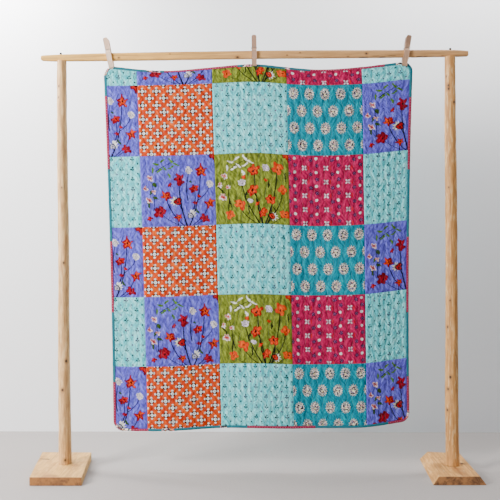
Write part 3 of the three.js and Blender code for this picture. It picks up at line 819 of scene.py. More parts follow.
for row in range(len(ROWS) - 1):
    for column in range(len(SEAMS) - 1):
        left, right = SEAMS[column, 0], SEAMS[column + 1, 0]
        top, foot = ROWS[row], ROWS[row + 1]
        shift_u = right - PRINT_WIDE if column == 0 else left
        shift_v = foot - PRINT_TALL if row == 0 else top
        left, right = max(left, BINDING_WIDTH), min(right, THROW_WIDTH - BINDING_WIDTH)
        top, foot = max(top, BINDING_WIDTH), min(foot, THROW_LENGTH - BINDING_WIDTH)
        s_places = np.linspace(left, right, round((right - left) / PATCH_STEP[0]) + 1)
        s, t = np.meshgrid(s_places, steps(top, foot, PATCH_STEP[1]))
        depth = patch_face(s, t, left, right, top, foot)
        s = round_corners(s, t)
        line, share, width = channel(s, t)
        patch = slab(
            f"patch_{row + 1}_{column + 1}", s, t, depth, np.full_like(s, PATCH_INSIDE),
            {"cloth": np.stack([s - shift_u, t - shift_v], -1), "quilt": np.stack([line + share, t], -1)},
        )
        patch.data.materials.append(PRINTS[LAYOUT[row % 2][column]])
        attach(patch, "root")


# Binding: bias strips of three prints, raspberry with pale dots, teal, and short bits of a black and
# white print, joined end to end, folded over the raw edge all the way round and stitched down.
BINDING_STEP = 6 * MM
BINDING_FACE = 3.7 * MM
# Where each strip ends on the way round, clockwise from the top left corner
BINDING_STRIPS = (
    ("print", 40), ("teal", 179), ("print", 233), ("teal", 250), ("raspberry", 553), ("teal", 575),
    ("print", 612), ("teal", 751), ("print", 772), ("teal", 858), ("raspberry", 1161), ("teal", 1205),
    ("print", 1246), ("teal", 1423), ("raspberry", 1726), ("teal", 2011), ("raspberry", 2330),
    ("teal", 2603), ("raspberry", 2746), ("print", 2794), ("raspberry", 2893), ("teal", 3214),
    ("raspberry", 3507), ("teal", 3594), ("print", 3623), ("teal", 3814), ("print", 3866),
    ("teal", 3922), ("raspberry", 3994), ("print", 4080), ("raspberry", 4266), ("teal", 4560),
    ("raspberry", 4859), ("teal", 5162), ("raspberry", 5469), ("teal", 5558), ("print", 5588),
)


def edge_place(along):
    """Flat place on the rim of the patchwork, and the way out from it, at a length along the throw's edge."""
    sides = (THROW_WIDTH, THROW_LENGTH, THROW_WIDTH, THROW_LENGTH)
    side = 0
    along = along % (2 * (THROW_WIDTH + THROW_LENGTH))
    while along >= sides[side]:
        along -= sides[side]
        side += 1
    cut = BINDING_WIDTH + CORNER_RADIUS
    turn = 0
    if along < cut:
        turn = -math.pi / 4 * (1 - along / cut)
    elif along > sides[side] - cut:
        turn = math.pi / 4 * (1 - (sides[side] - along) / cut)
    run = min(max(along, cut), sides[side] - cut) + CORNER_RADIUS * math.sin(turn)
    deep = BINDING_WIDTH + CORNER_RADIUS * (1 - math.cos(turn))
    out = (math.sin(turn), -math.cos(turn))
    if side == 0:
        return (run, deep), out
    if side == 1:
        return (THROW_WIDTH - deep, run), (-out[1], out[0])
    if side == 2:
        return (THROW_WIDTH - run, THROW_LENGTH - deep), (-out[0], -out[1])
    return (deep, THROW_LENGTH - run), (out[1], -out[0])


# Section of the binding: how far out from the patchwork's rim, and its depth
BINDING_SECTION = np.array([
    (-1.6, -2.1), (-1.3, -3.3), (1.2, -3.75), (4.2, -3.7), (6.8, -3.0), (8.4, -1.9), (9.2, -0.3),
    (8.9, 1.2), (7.4, 2.4), (4.6, 3.1), (1.4, 3.3), (-1.2, 3.0), (-1.6, 2.0),
]) * MM


def binding_piece(kind):
    """All the strips of one print, each a closed folded tape that follows the throw's edge."""
    points, faces, places = [], [], []
    around = len(BINDING_SECTION)
    start = 0.0
    for name, end in BINDING_STRIPS:
        end *= MM
        if name == kind:
            stations = np.linspace(start, end, max(3, round((end - start) / BINDING_STEP)))
            base = len(points) * around
            for number, along in enumerate(stations):
                (s0, t0), (ds, dt) = edge_place(along)
                wave = 0.35 * MM * math.sin(along / (7 * MM)) * math.sin(along / (17 * MM) + 1)
                tuck = 0.88 if number in (0, len(stations) - 1) else 1.0
                out = BINDING_SECTION[:, 0] + np.where(BINDING_SECTION[:, 0] > 6 * MM, wave, 0)
                deep = BINDING_SECTION[:, 1] * tuck
                s, t = s0 + ds * out, t0 + dt * out
                squeezed = pinch(s, t)
                face = BINDING_FACE * (1 - squeezed) + FACE_IN_PEG * squeezed
                deep = np.where(deep < 0, np.maximum(deep, -face), deep)
                points.append(hang(s, t, deep + wave * 0.5))
                places.append(np.column_stack([np.full(around, along), out]))
            faces += tube_faces(len(stations), around, base)
        start = end
    piece = make_piece(f"binding_{kind}", np.concatenate(points), faces, {"cloth": np.concatenate(places)})
    turn_outward(piece)
    return piece


def tape_teal(finish, flat):
    """Teal, a little uneven in its dye."""
    return finish.mix(finish.noise(flat, 40.0), "00505c", "007484")


def tape_raspberry(finish, flat):
    """Raspberry with rows of small pale dots."""
    colour = finish.mix(finish.noise(flat, 40.0), "7a0830", "9c0a44")
    x, y, _ = repeat(finish, flat, 11, 7.6, (0, 3.0))
    away, _ = polar(finish, x, y)
    return finish.mix(away.within(0.9 * MM), colour, "e8b8c8")


def tape_print(finish, flat):
    """Small scattered specks of black, white, grey, pink and orange."""
    inputs = {"Vector": flat, "Scale": 170.0}
    cells = finish.node("ShaderNodeTexVoronoi", {"voronoi_dimensions": "2D"}, inputs, 1)
    chance, _, _ = finish.parts(cells)
    chosen = finish.ramp(
        chance, (0.0, "20242c"), (0.36, "efe9e2"), (0.58, "2b3a3e"), (0.74, "d9839a"), (0.88, "e58a52"),
    )
    chosen.socket.node.color_ramp.interpolation = "CONSTANT"
    return chosen


def tape(name, draw):
    """Binding cotton: its print, fine bias ribs and small puckers."""
    finish = Finish(name)
    flat = finish.flat_place()
    colour = draw(finish, flat)
    u, v, _ = finish.parts(flat)
    ribs = ((u + v) * (2 * math.pi / WEAVE_PITCH)).math("SINE")
    pucker = finish.noise(finish.stretched(flat, (1.0, 0.4, 1.0)), 160.0, 2)
    dash = abs(u.math("WRAP", 1.6 * MM, -1.6 * MM)).within(1.1 * MM, 0.3 * MM)
    stitch = abs(v - 0.6 * MM).within(0.35 * MM, 0.3 * MM) * dash
    colour = finish.mix(stitch * 0.2, colour, "d8d2d6")
    return finish.shade(
        {"Base Color": colour, "Roughness": 0.92, "Specular IOR Level": 0.3, "Sheen Weight": 0.03},
        ribs * 0.05 + pucker, 0.8 * MM, 0.6,
    )


for kind, draw in (("teal", tape_teal), ("raspberry", tape_raspberry), ("print", tape_print)):
    piece = binding_piece(kind)
    piece.data.materials.append(tape(f"{kind} binding cotton", draw))
    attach(piece, "root")
    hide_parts("binding")

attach(throw, "root")
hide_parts("quilted_throw")


# Poles: two young pines, peeled and shaved by hand, so they taper, wander a little and keep the flats
# of the drawknife and the ends of small branches. Each stands in its board foot.
POLE_FOOT = 34.3 * MM
POLE_TOP = 1723 * MM
POLE_LEVELS = 190
POLE_SIDES = 40
# How far the shaved flats wind round a pole from foot to top, in radians
POLE_WIND = 7
# A seed for each pole's unevenness, then height, middle across, middle back and half width up the pole
POLES = {
    "pole_left": (0.6, (
        (34.3, -781.3, 0, 26.5), (75, -781.6, 0, 25.6), (320, -783.6, 1.5, 25.0), (600, -784.4, -1, 24.0),
        (900, -784.0, 1, 23.2), (1180, -786.4, 2, 22.0), (1440, -787.8, -1, 20.6), (1723, -788.4, 0, 19.2),
    )),
    "pole_right": (2.4, (
        (34.3, 834.9, 0, 27.5), (75, 834.6, 0, 26.8), (330, 833.2, -1, 26.4), (620, 834.8, 1.5, 25.4),
        (930, 835.4, 0, 24.4), (1200, 833.6, -2, 23.6), (1460, 832.6, 1, 22.2), (1723, 833.0, 0, 21.2),
    )),
}
# Branch ends: height, turn round the pole in degrees with -90 to the front, size
KNOTS = {
    "pole_left": ((1614, -111, 4), (1567, -116, 3), (1420, 60, 6), (1190, -84, 3), (1012, 20, 6),
                  (876, -72, 5), (740, 100, 6), (466, -53, 6), (346, -90, 6), (300, 50, 5), (54, -72, 5)),
    "pole_right": ((1639, -153, 4), (1600, -124, 5), (1586, -122, 5), (1531, -62, 5), (1350, 70, 6),
                   (1180, -130, 3), (900, 110, 5), (715, -120, 3.5), (605, -144, 4.5), (420, 60, 6),
                   (400, -118, 6), (350, -140, 5), (263, -148, 5)),
}
POLE_TONES = {"pole_left": ("f0c080", "b08450"), "pole_right": ("dea25c", "94642f")}
POLE_HEWN = 0.3


def pine(name, tones, along, knots, hewn=0.0, ends=None):
    """Bare pine: long grain, growth streaks, small dark knots and a dry, slightly worn surface. The grain
    runs along one axis, knots give x, y, z and size, and hewn is how much the knife's chips show."""
    finish = Finish(name)
    place = finish.solid_place()

    def drawn_out(share):
        return finish.stretched(place, tuple(share if axis == along else 1.0 for axis in range(3)))

    long_grain = finish.noise(drawn_out(0.045), 120.0, 4, 0.6, 0.6)
    fine_grain = finish.noise(drawn_out(0.02), 420.0, 3, 0.65)
    blotch = finish.noise(place, 9.0, 3)
    colour = finish.mix((long_grain - 0.5) * 2.4 + 0.45, *tones)
    colour = finish.mix((fine_grain - 0.58).clamped(3.0) * 0.4, colour, "6d4a28")
    colour = finish.mix((blotch - 0.5).clamped(2.4) * 0.45, colour, "a9743c")
    chips = finish.noise(drawn_out(0.16), 120.0, 3)
    if hewn:
        colour = finish.mix((chips - 0.53).clamped(14.0) * hewn, colour, "8a5626")
        colour = finish.mix((0.44 - chips).clamped(14.0) * hewn, colour, "fbe0a8")
    dents = []
    for x, y, z, size in knots:
        scale = [size * MM] * 3
        scale[along] *= 1.35
        spot = finish.node("ShaderNodeMapping", {"vector_type": "TEXTURE"}, {
            "Vector": place, "Location": (x, y, z), "Scale": tuple(scale)})
        away = finish.length(spot)
        colour = finish.mix(away.within(1.5, 1.2) * 0.5, colour, "80532c")
        core = away.within(0.72, 0.35)
        colour = finish.mix(core * 0.9, colour, "2e1a0e")
        dents.append(core)
    if ends is not None:
        colour = ends(finish, place, colour)
    height = long_grain * 0.7 + fine_grain * 0.5 + chips * (hewn * 2.5) - joined(dents) * 0.8
    return finish.shade({"Base Color": colour, "Roughness": fine_grain * 0.2 + 0.52}, height, 0.9 * MM, 0.5)


for name, (seed, table) in POLES.items():
    table = np.array(table) * MM
    heights = np.linspace(POLE_FOOT, POLE_TOP, POLE_LEVELS)
    middle_x, middle_y, half = (read_table(table[:, 0], table[:, k], heights) for k in (1, 2, 3))
    turns = np.linspace(0, 2 * math.pi, POLE_SIDES, endpoint=False)
    points = []
    for level, z in enumerate(heights):
        wind = POLE_WIND * (z - POLE_FOOT) / (POLE_TOP - POLE_FOOT)
        for turn in turns:
            uneven = 1 + 0.02 * math.sin(2 * turn + seed + wind) + 0.01 * math.sin(3 * turn - seed)
            flats = noise.noise(Vector((math.cos(turn) * 1.7, math.sin(turn) * 1.7 + seed * 5, z * 14)))
            bump = 1.0 * MM * max(-0.8, min(0.3, flats * 2.4))
            for knot_z, knot_turn, size in KNOTS[name]:
                gap = (turn - math.radians(knot_turn) + math.pi) % (2 * math.pi) - math.pi
                far = math.hypot(gap * half[level], z - knot_z * MM) / (size * 1.6 * MM)
                bump += 0.7 * MM * math.exp(-far * far)
            reach = half[level] * uneven + bump
            x = middle_x[level] + reach * math.cos(turn)
            points.append((x, middle_y[level] + reach * math.sin(turn), z))
    pole = make_piece(f"peeled_{name}", np.array(points), tube_faces(POLE_LEVELS, POLE_SIDES))
    knots = []
    for knot_z, knot_turn, size in KNOTS[name]:
        level = int(np.argmin(abs(heights - knot_z * MM)))
        turn = math.radians(knot_turn)
        x = middle_x[level] + half[level] * math.cos(turn)
        y = middle_y[level] + half[level] * math.sin(turn)
        knots.append((x, y, knot_z * MM, size))
    pole.data.materials.append(pine(f"{name} pine", POLE_TONES[name], 2, knots, POLE_HEWN))
    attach(pole, "root")
    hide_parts(name)


# Crossbar: a sawn lath with its edges rubbed round, laid over both poles. It is golden at the left end
# and pinker to the right, with small knots, short cracks low on its right half and a tapered left end.
# Place along, top, underside
BAR = np.array([
    (-874, 1746.0, 1727.5), (-862, 1747.5, 1725.8), (-815, 1749.6, 1723.3), (-755, 1751.0, 1723.3),
    (-600, 1753.4, 1722.4), (-380, 1755.2, 1722.8), (-150, 1755.8, 1723.6), (80, 1756.0, 1723.9),
    (320, 1754.6, 1723.0), (560, 1752.8, 1722.2), (690, 1751.6, 1722.6), (800, 1750.4, 1723.3),
    (866, 1748.6, 1723.3), (906, 1744.6, 1724.6),
]) * MM
BAR_LEFT = -874 * MM
BAR_RIGHT = 906 * MM
BAR_DEPTH = 22 * MM
BAR_SIDES = 28
# How square the bar's section is: 1 is round and 0 has sharp corners
BAR_ROUNDING = 0.42
BAR_RUB = 0.5 * MM
# The bar is drawn in a little at each end, over the last three rings
BAR_END_SHARES = (0.84, 0.93, 0.98)
stations = np.concatenate([
    [BAR_LEFT, BAR_LEFT + 0.6 * MM, BAR_LEFT + 2 * MM],
    np.linspace(BAR_LEFT + 4 * MM, BAR_RIGHT - 3 * MM, 200),
    [BAR_RIGHT - 1.4 * MM, BAR_RIGHT - 0.4 * MM, BAR_RIGHT],
])
bar_top = read_table(BAR[:, 0], BAR[:, 1], stations)
bar_under = read_table(BAR[:, 0], BAR[:, 2], stations)
points = []
for number, x in enumerate(stations):
    end = min(number, len(stations) - 1 - number)
    shrink = BAR_END_SHARES[end] if end < 3 else 1.0
    middle = (bar_top[number] + bar_under[number]) / 2
    half = (bar_top[number] - bar_under[number]) / 2
    for k in range(BAR_SIDES):
        turn = 2 * math.pi * (k + 0.5) / BAR_SIDES
        c, d = math.cos(turn), math.sin(turn)
        y = math.copysign(min(1, abs(c) ** BAR_ROUNDING), c)
        z = math.copysign(min(1, abs(d) ** BAR_ROUNDING), d)
        rub = BAR_RUB * noise.noise(Vector((x * 14, y * 0.8, z * 0.8 + 3)))
        scale = shrink * (1 - max(0.0, rub) / half)
        points.append((x, BAR_DEPTH / 2 * y * scale, middle + half * z * scale))
bar = make_piece("lath_bar", np.array(points), tube_faces(len(stations), BAR_SIDES), sharp=40)
turn_outward(bar)
# Knots on the bar's front: place along, height, size
BAR_KNOTS = ((-544, 1732, 3.5), (-48, 1728, 5.5), (158, 1734, 2.6), (212, 1744, 2.4), (-330, 1745, 2.2),
             (486, 1737, 4.5), (410, 1724, 3.6), (800, 1723, 3.2))
# Short cracks along the bar's lower edge: middle along, half length, height
BAR_CRACKS = ((245, 20, 1723), (475, 18, 1722.8), (524, 13, 1726.5), (553, 12, 1723), (591, 16, 1727),
              (715, 22, 1723))
CRACK_HALF = 1.1 * MM
CRACK_SWAY = 3 * MM
BAR_TOP_EDGE = 1751.5 * MM


def bar_tones(finish, place, colour):
    """Golden to pinkish brown along the bar, painted shade along its top edge, and short cracks along its
    lower edge.
    """
    x, y, z = finish.parts(place)
    share = (x - BAR_LEFT).clamped(1 / (BAR_RIGHT - BAR_LEFT))
    cast = finish.ramp(share, (0.0, "fff08e"), (0.3, "fbe69c"), (0.5, "eedcc0"), (1.0, "dccabc"))
    colour = finish.mix(0.85, colour, cast, "MULTIPLY")
    sway = finish.noise(finish.stretched(place, (1.0, 0.0, 0.0)), 60.0, 2) * CRACK_SWAY - CRACK_SWAY / 2
    cracks = []
    for middle, half, level in BAR_CRACKS:
        thin = abs(z - level * MM + sway).within(CRACK_HALF, 1.2 * MM)
        cracks.append(thin * abs(x - middle * MM).within(half * MM, 8 * MM))
    on_front = y.math("LESS_THAN", -1.0 * MM)
    # Painted shade along the bar's top edge
    colour = finish.mix(z.math("GREATER_THAN", BAR_TOP_EDGE) * 0.35, colour, "8a5c30")
    return finish.mix(joined(cracks) * on_front * 0.85, colour, "3c2414")


bar.data.materials.append(pine(
    "crossbar pine", ("ecc084", "b08a5c"), 0,
    [(x * MM, -BAR_DEPTH / 2, z * MM, size) for x, z, size in BAR_KNOTS], ends=bar_tones,
))
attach(bar, "root")
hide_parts("crossbar")


# Feet: two offcuts of thick pine board, sawn by hand so no two sides are parallel. Their top faces are
# pale and chiselled round the pole, and the sawn front ends show brown end grain with a knot.
BOARD = 34 * MM
# Corners of the top face and of the underside from the front left, the pole's place across, and a seed
FEET = {
    "foot_left": (((-871, -166), (-663, -164), (-709, 140), (-931, 146)),
                  ((-871, -166), (-663, -164), (-709, 140), (-931, 146)), -781.3, 0.3),
    "foot_right": (((740, -142), (903, -138), (909, 143), (775, 166)),
                   ((718, -142), (928, -138), (931, 143), (740, 166)), 834.9, 5.1),
}
EASED = 1.8 * MM
TOOL_MARK = 0.55 * MM
FINE_MARK = 0.2 * MM
# What counts as the top face, for marks that are cut into it
TOP_FACE = BOARD - 2.5 * MM
# Split at the left end of the left board: a place on its line, how far right it runs, its depth and half
# width, and the lower step behind it, which ends a little sooner
SPLIT_X = -885 * MM
SPLIT_Y = 52 * MM
SPLIT_END = -850 * MM
SPLIT_DEEP = 1.9 * MM
SPLIT_HALF = 2.6 * MM
SPLIT_STEP = 1.0 * MM
SPLIT_STEP_END = -880 * MM
# Chiselled ring round the pole: radius, depth, half width
RING_RADIUS = 31 * MM
RING_DEEP = 0.9 * MM
RING_HALF = 3 * MM


def board_piece(name, top, under, pole_x, seed):
    """A board between its top corners and its underside's, with rubbed edges and shallow tool marks."""
    board = bmesh.new()
    corners = [board.verts.new((x * MM, y * MM, 0)) for x, y in under]
    corners += [board.verts.new((x * MM, y * MM, BOARD)) for x, y in top]
    board.faces.new([corners[k] for k in (3, 2, 1, 0)])
    board.faces.new([corners[k] for k in (4, 5, 6, 7)])
    for k in range(4):
        after = (k + 1) % 4
        board.faces.new([corners[k], corners[after], corners[after + 4], corners[k + 4]])
    bmesh.ops.bevel(board, geom=board.edges[:], offset=EASED, segments=2, affect="EDGES", profile=0.5)
    long_edges = [e for e in board.edges if e.calc_length() > 20 * MM]
    bmesh.ops.subdivide_edges(board, edges=long_edges, cuts=44, use_grid_fill=True)
    board.normal_update()
    moves = {}
    for v in board.verts:
        x, y, z = v.co
        if z < EASED + 0.4 * MM:
            continue
        marks = noise.noise(Vector((x * 26 + seed, y * 9, z * 30)))
        fine = noise.noise(Vector((x * 90, y * 34 + seed, z * 90)))
        sunk = TOOL_MARK * (0.6 - marks) + FINE_MARK * (0.6 - fine)
        if name == "foot_left" and z > TOP_FACE and x < SPLIT_END:
            line = (y - SPLIT_Y) + (x - SPLIT_X) * 0.1
            sunk += SPLIT_DEEP * math.exp(-((line / SPLIT_HALF) ** 2))
            if line > 0:
                sunk += SPLIT_STEP * math.exp(-max(0, x - SPLIT_STEP_END) / (20 * MM))
        around = math.hypot(x - pole_x * MM, y)
        if z > TOP_FACE and around < RING_RADIUS + 3 * RING_HALF:
            scallop = 1 + 0.12 * math.sin(9 * math.atan2(y, x - pole_x * MM))
            sunk += RING_DEEP * math.exp(-(((around - RING_RADIUS * scallop) / RING_HALF) ** 2))
        moves[v] = v.normal * -max(0.0, sunk)
    for v, move in moves.items():
        v.co += move
    mesh = bpy.data.meshes.new(f"board_{name}")
    board.to_mesh(mesh)
    board.free()
    return smooth_piece(f"board_{name}", mesh, 50)


GROWTH_RING = 5.2 * MM
# How far back from the front edge the sawn end's colour reaches
END_REACH = 2.2 * MM


def end_grain(front_y, slope, centre, tones, check, stain):
    """Brown sawn end: rings round a heart, with darker blotches, on the board's front face. The top face has
    a short dark check, whose dark is partly painted shadow of the split's step, and a warm stain."""
    pale, dark, ring = tones
    check_x, check_y, check_half, check_wide = check

    def draw(finish, place, colour):
        x, y, z = finish.parts(place)
        cloud = finish.noise(place, 16.0, 3)
        colour = finish.mix((cloud - 0.52).clamped(7.0) * 0.4, colour, "9a6630")
        on_end = (y - x * slope).within(front_y, 1.2 * MM)
        rings = finish.node("ShaderNodeMapping", {"vector_type": "TEXTURE"}, {
            "Vector": place, "Location": centre, "Scale": (1.0, 1.0, 1.0)})
        away = finish.length(rings) + finish.noise(place, 26.0, 2) * 0.02
        wave = (away * (2 * math.pi / GROWTH_RING)).math("SINE") * 0.25 + 0.5
        blotches = (finish.noise(place, 30.0, 3, 0.6) - 0.5) * 6.0 + 0.5
        sawn = finish.mix(wave * 0.5, finish.mix(blotches.clamped(), pale, dark), ring)
        colour = finish.mix(on_end, colour, sawn)
        # Dark check, its dark partly painted shadow of the split's step
        line = abs(y - check_y + (x - check_x) * 0.1).within(check_wide)
        line = line * abs(x - check_x).within(check_half, 8 * MM)
        warm = finish.length(finish.placed(place, *stain)).within(1.0, 0.6)
        colour = finish.mix(warm * (1 - on_end) * 0.5, colour, "7a3c10")
        return finish.mix(line * z.math("GREATER_THAN", BOARD - 4 * MM) * 0.9, colour, "3a2412")

    return draw


# Knots in the boards: across, back, up, size
FOOT_KNOTS = {
    "foot_left": ((-0.781, -0.165, 0.019, 6.5), (-0.82, -0.09, BOARD, 2.0), (-0.742, -0.03, BOARD, 1.8),
                  (-0.72, 0.08, BOARD, 2.4)),
    "foot_right": ((0.878, 0.012, BOARD, 7.5), (0.834, -0.041, BOARD, 5.0), (0.80, 0.08, BOARD, 2.4),
                   (0.80, -0.142, 0.019, 9.0), (0.845, -0.142, 0.022, 7.0)),
}
FOOT_TONES = {"foot_left": ("e4b060", "b0864c"), "foot_right": ("dca258", "9c6c38")}
# End grain: pale and dark tone, and the rings
END_TONES = {"foot_left": ("9a6430", "603a1e", "ac743e"), "foot_right": ("9e6c3e", "4a2c1a", "b47c46")}
# Dark check in the top face, partly painted shadow of the split's step on the left board: across, back, half
# length, half width
CHECKS = {"foot_left": (-0.889, 0.052, 0.024, 6.5 * MM), "foot_right": (0.80, 0.06, 0.008, 1.0 * MM)}
# Warm stain on the top face: across, back, turn, half sizes
STAINS = {"foot_left": (-0.79, -0.155, 0.0, 0.03, 0.02), "foot_right": (0.838, -0.082, 0.12, 0.02, 0.05)}
FOOT_HEWN = 0.2
for name, (top, under, pole_x, seed) in FEET.items():
    foot = board_piece(name, top, under, pole_x, seed)
    (x0, y0), (x1, y1) = under[0], under[1]
    slope = (y1 - y0) / (x1 - x0)
    front = (y0 - x0 * slope) * MM + END_REACH
    centre = ((x0 + x1) / 2 * MM, 0.0, -0.03)
    ends = end_grain(front, slope, centre, END_TONES[name], CHECKS[name], STAINS[name])
    foot.data.materials.append(pine(f"{name} pine", FOOT_TONES[name], 1, FOOT_KNOTS[name], FOOT_HEWN, ends))
    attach(foot, "root")
    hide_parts(name)


# Screws: black pan heads, turned, with a cross driven into the crown, one down through each end of
# the bar into its pole. Neither is driven home, so a bit of threaded shank shows below each head.
SCREW_RADIUS = 4.7 * MM
SCREW_SHANK = 2.0 * MM
SCREW_PROUD = 1.9 * MM
SCREW_TALL = 5.7 * MM
SCREW_SIDES = 32
# The crown, from the head's underside up: shares of its radius and of its height
SCREW_CROWN = ((1.0, 0.0), (1.0, 0.5), (0.95, 0.68), (0.84, 0.83), (0.66, 0.94), (0.4, 1.0))
THREADS = 6
THREAD_DEEP = 0.2 * MM
# The cross: reach of its arms and of its corners, height of its rim and depth of its floor, as shares
CROSS_ARM = 0.34
CROSS_CORNER = 0.12
CROSS_RIM = 0.98
CROSS_FLOOR = 0.45
blackened = Finish("blackened screw steel")
wear = blackened.noise(blackened.solid_place(), 900.0, 3)
black_steel = blackened.shade({
    "Base Color": blackened.mix(wear, "060606", "121110"), "Specular IOR Level": 0.1,
    "Roughness": wear * 0.3 + 0.5}, wear, 0.2 * MM, 0.4)
for name in ("screw_left", "screw_right"):
    low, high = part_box(name)
    centre = (low + high) / 2
    seat = low.z + SCREW_PROUD
    outline = []
    for number in range(THREADS + 1):
        thread = THREAD_DEEP if number % 2 else 0
        outline.append((SCREW_SHANK + thread, low.z + SCREW_PROUD * number / THREADS))
    outline += [(SCREW_RADIUS * reach, seat + SCREW_TALL * tall) for reach, tall in SCREW_CROWN]
    turns = [2 * math.pi * k / SCREW_SIDES for k in range(SCREW_SIDES)]
    head = bmesh.new()
    rings = []
    for reach, z in outline:
        ring = [(centre.x + reach * math.cos(turn), centre.y + reach * math.sin(turn), z) for turn in turns]
        rings.append([head.verts.new(place) for place in ring])
    inner = []
    for turn in turns:
        reach = SCREW_RADIUS * (CROSS_ARM if abs(math.cos(2 * turn)) > 0.9 else CROSS_CORNER)
        x = centre.x + reach * math.cos(turn)
        inner.append(head.verts.new((x, centre.y + reach * math.sin(turn), seat + SCREW_TALL * CROSS_RIM)))
    rings.append(inner)
    for lower, upper in zip(rings, rings[1:]):
        for k in range(SCREW_SIDES):
            after = (k + 1) % SCREW_SIDES
            head.faces.new([lower[k], lower[after], upper[after], upper[k]])
    head.faces.new(rings[0][::-1])
    sunk = head.verts.new((centre.x, centre.y, seat + SCREW_TALL * CROSS_FLOOR))
    for k in range(SCREW_SIDES):
        head.faces.new([inner[k], inner[(k + 1) % SCREW_SIDES], sunk])
    mesh = bpy.data.meshes.new(f"pan_head_{name}")
    head.to_mesh(mesh)
    head.free()
    screw = smooth_piece(f"pan_head_{name}", mesh, 35)
    screw.data.materials.append(black_steel)
    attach(screw, "root")
    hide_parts(name)


# Pegs: three pale wooden spring pegs. Each has two milled legs, notched to straddle the bar, that pinch
# the throw's top edge below it, and a sprung wire coil between them just above the bar.
# A peg's own sizes are in millimetres from its jaw tips, until it is stood in its place.
PEG_LENGTH = 128.0
SPRING_HEIGHT = 76.0
# How far the wood's end is rounded down, and the half width that the rounding is drawn to
END_DROP = 9.5
END_HALF = 10.3
# Places across a leg, with how far each section is drawn in, so that its sides are eased
LEG_SECTIONS = ((-10, 0.9), (-9.7, 0.4), (-9.0, 0.1), (-8.0, 0), (-6.5, 0), (-4.5, 0), (0, 0), (4.5, 0),
                (6.5, 0), (8.0, 0), (9.0, 0.1), (9.7, 0.4), (10, 0.9))
JAWS = (("front", -1, 4.3), ("back", 1, 3.5))
# The handle end of each leg, which hands hold, gets painted shade from here, deepening over this height
HANDLE_SHADE_START = 1750 * MM
HANDLE_SHADE_FADE = 35 * MM
# Name, middle across, foot's height and lean to the left in degrees
PEGS = (("peg_left", -576, 1691.5, 11.3), ("peg_middle", 21.5, 1692.5, 0.3), ("peg_right", 643, 1685.5, -8.9))


def leg_outline(jaw):
    """Side outline of a leg, from its jaw tip up the inside and down the outside: back, up, rounding."""
    return (
        (jaw, 0, 0.8), (jaw, 20, 1.5), (11.3, 25, 1.5), (11.3, 70, 1.5), (4.7, 71.2, 0.8), (4.7, 81, 0.8),
        (3, 83, 1.5), (8, 127, 1.2), (9.5, 128, 0.8), (14, 128, 2.0), (16.5, 125, 2.0), (13.5, 79, 2.0),
        (13.5, 74, 2.0), (19, 64, 4.0), (19, 28, 4.0), (jaw + 5, 0, 1.5),
    )


def rounded(outline, inset):
    """The outline with its corners rounded and drawn in by a small inset."""
    count = len(outline)
    path = []
    for k, (y, z, radius) in enumerate(outline):
        here = np.array((y, z))
        before = np.array(outline[k - 1][:2]) - here
        after = np.array(outline[(k + 1) % count][:2]) - here
        cut = min(radius, 0.45 * np.hypot(*before), 0.45 * np.hypot(*after))
        start = here + before / np.hypot(*before) * cut
        end = here + after / np.hypot(*after) * cut
        for share in (0.0, 0.33, 0.67, 1.0):
            path.append((1 - share) ** 2 * start + 2 * share * (1 - share) * here + share ** 2 * end)
    path = np.array(path)
    tangent = np.roll(path, -1, 0) - np.roll(path, 1, 0)
    tangent /= np.maximum(np.hypot(*tangent.T), 1e-9)[:, None]
    return path + inset * np.column_stack([-tangent[:, 1], tangent[:, 0]])


def peg_finish(name, pale, shade_tone, handle_shade_tone):
    """Milled birch: pale pinkish beige, very fine grain, and a little patchy painted shade towards the handle
    end of each leg.
    """
    finish = Finish(name)
    place = finish.solid_place()
    grain = finish.noise(finish.stretched(place, (1.0, 1.0, 0.06)), 520.0, 4, 0.6)
    cloud = finish.noise(place, 60.0, 2)
    colour = finish.mix((grain - 0.3).clamped(1.6), pale, shade_tone)
    colour = finish.mix(cloud * 0.35, colour, "9c7860")
    _, _, z = finish.parts(place)
    # Painted shade towards the handle end of each leg, a little patchy
    handle_shade = ((z - HANDLE_SHADE_START) * (1 / HANDLE_SHADE_FADE)).math("ADD", cloud - 0.5, clamp=True)
    colour = finish.mix(handle_shade * 0.75, colour, handle_shade_tone)
    return finish.shade({"Base Color": colour, "Roughness": grain * 0.2 + 0.55}, grain, 0.4 * MM, 0.5)


wire_tree = bpy.data.node_groups.new("round wire along a path", "GeometryNodeTree")
for label, kind, way in (
    ("Path", "NodeSocketGeometry", "INPUT"), ("Radius", "NodeSocketFloat", "INPUT"),
    ("Sides", "NodeSocketInt", "INPUT"), ("Steel", "NodeSocketMaterial", "INPUT"),
    ("Wire", "NodeSocketGeometry", "OUTPUT"),
):
    wire_tree.interface.new_socket(label, in_out=way, socket_type=kind)
given = wire_tree.nodes.new("NodeGroupInput")
to_curve = wire_tree.nodes.new("GeometryNodeMeshToCurve")
ring = wire_tree.nodes.new("GeometryNodeCurvePrimitiveCircle")
sweep = wire_tree.nodes.new("GeometryNodeCurveToMesh")
sweep.inputs["Fill Caps"].default_value = True
real = wire_tree.nodes.new("GeometryNodeRealizeInstances")
coat = wire_tree.nodes.new("GeometryNodeSetMaterial")
done = wire_tree.nodes.new("NodeGroupOutput")
for start, end in (
    (given.outputs["Path"], to_curve.inputs["Mesh"]), (given.outputs["Radius"], ring.inputs["Radius"]),
    (given.outputs["Sides"], ring.inputs["Resolution"]), (to_curve.outputs["Curve"], sweep.inputs["Curve"]),
    (ring.outputs["Curve"], sweep.inputs["Profile Curve"]), (sweep.outputs["Mesh"], real.inputs["Geometry"]),
    (real.outputs["Geometry"], coat.inputs["Geometry"]), (given.outputs["Steel"], coat.inputs["Material"]),
    (coat.outputs["Geometry"], done.inputs["Wire"]),
):
    wire_tree.links.new(start, end)
WIRE_RADIUS = 0.95
WIRE_SIDES = 10
COIL_RADIUS = 3.6
COIL_HALF = 10.6
COIL_TURNS = 9
COIL_STEPS = 16
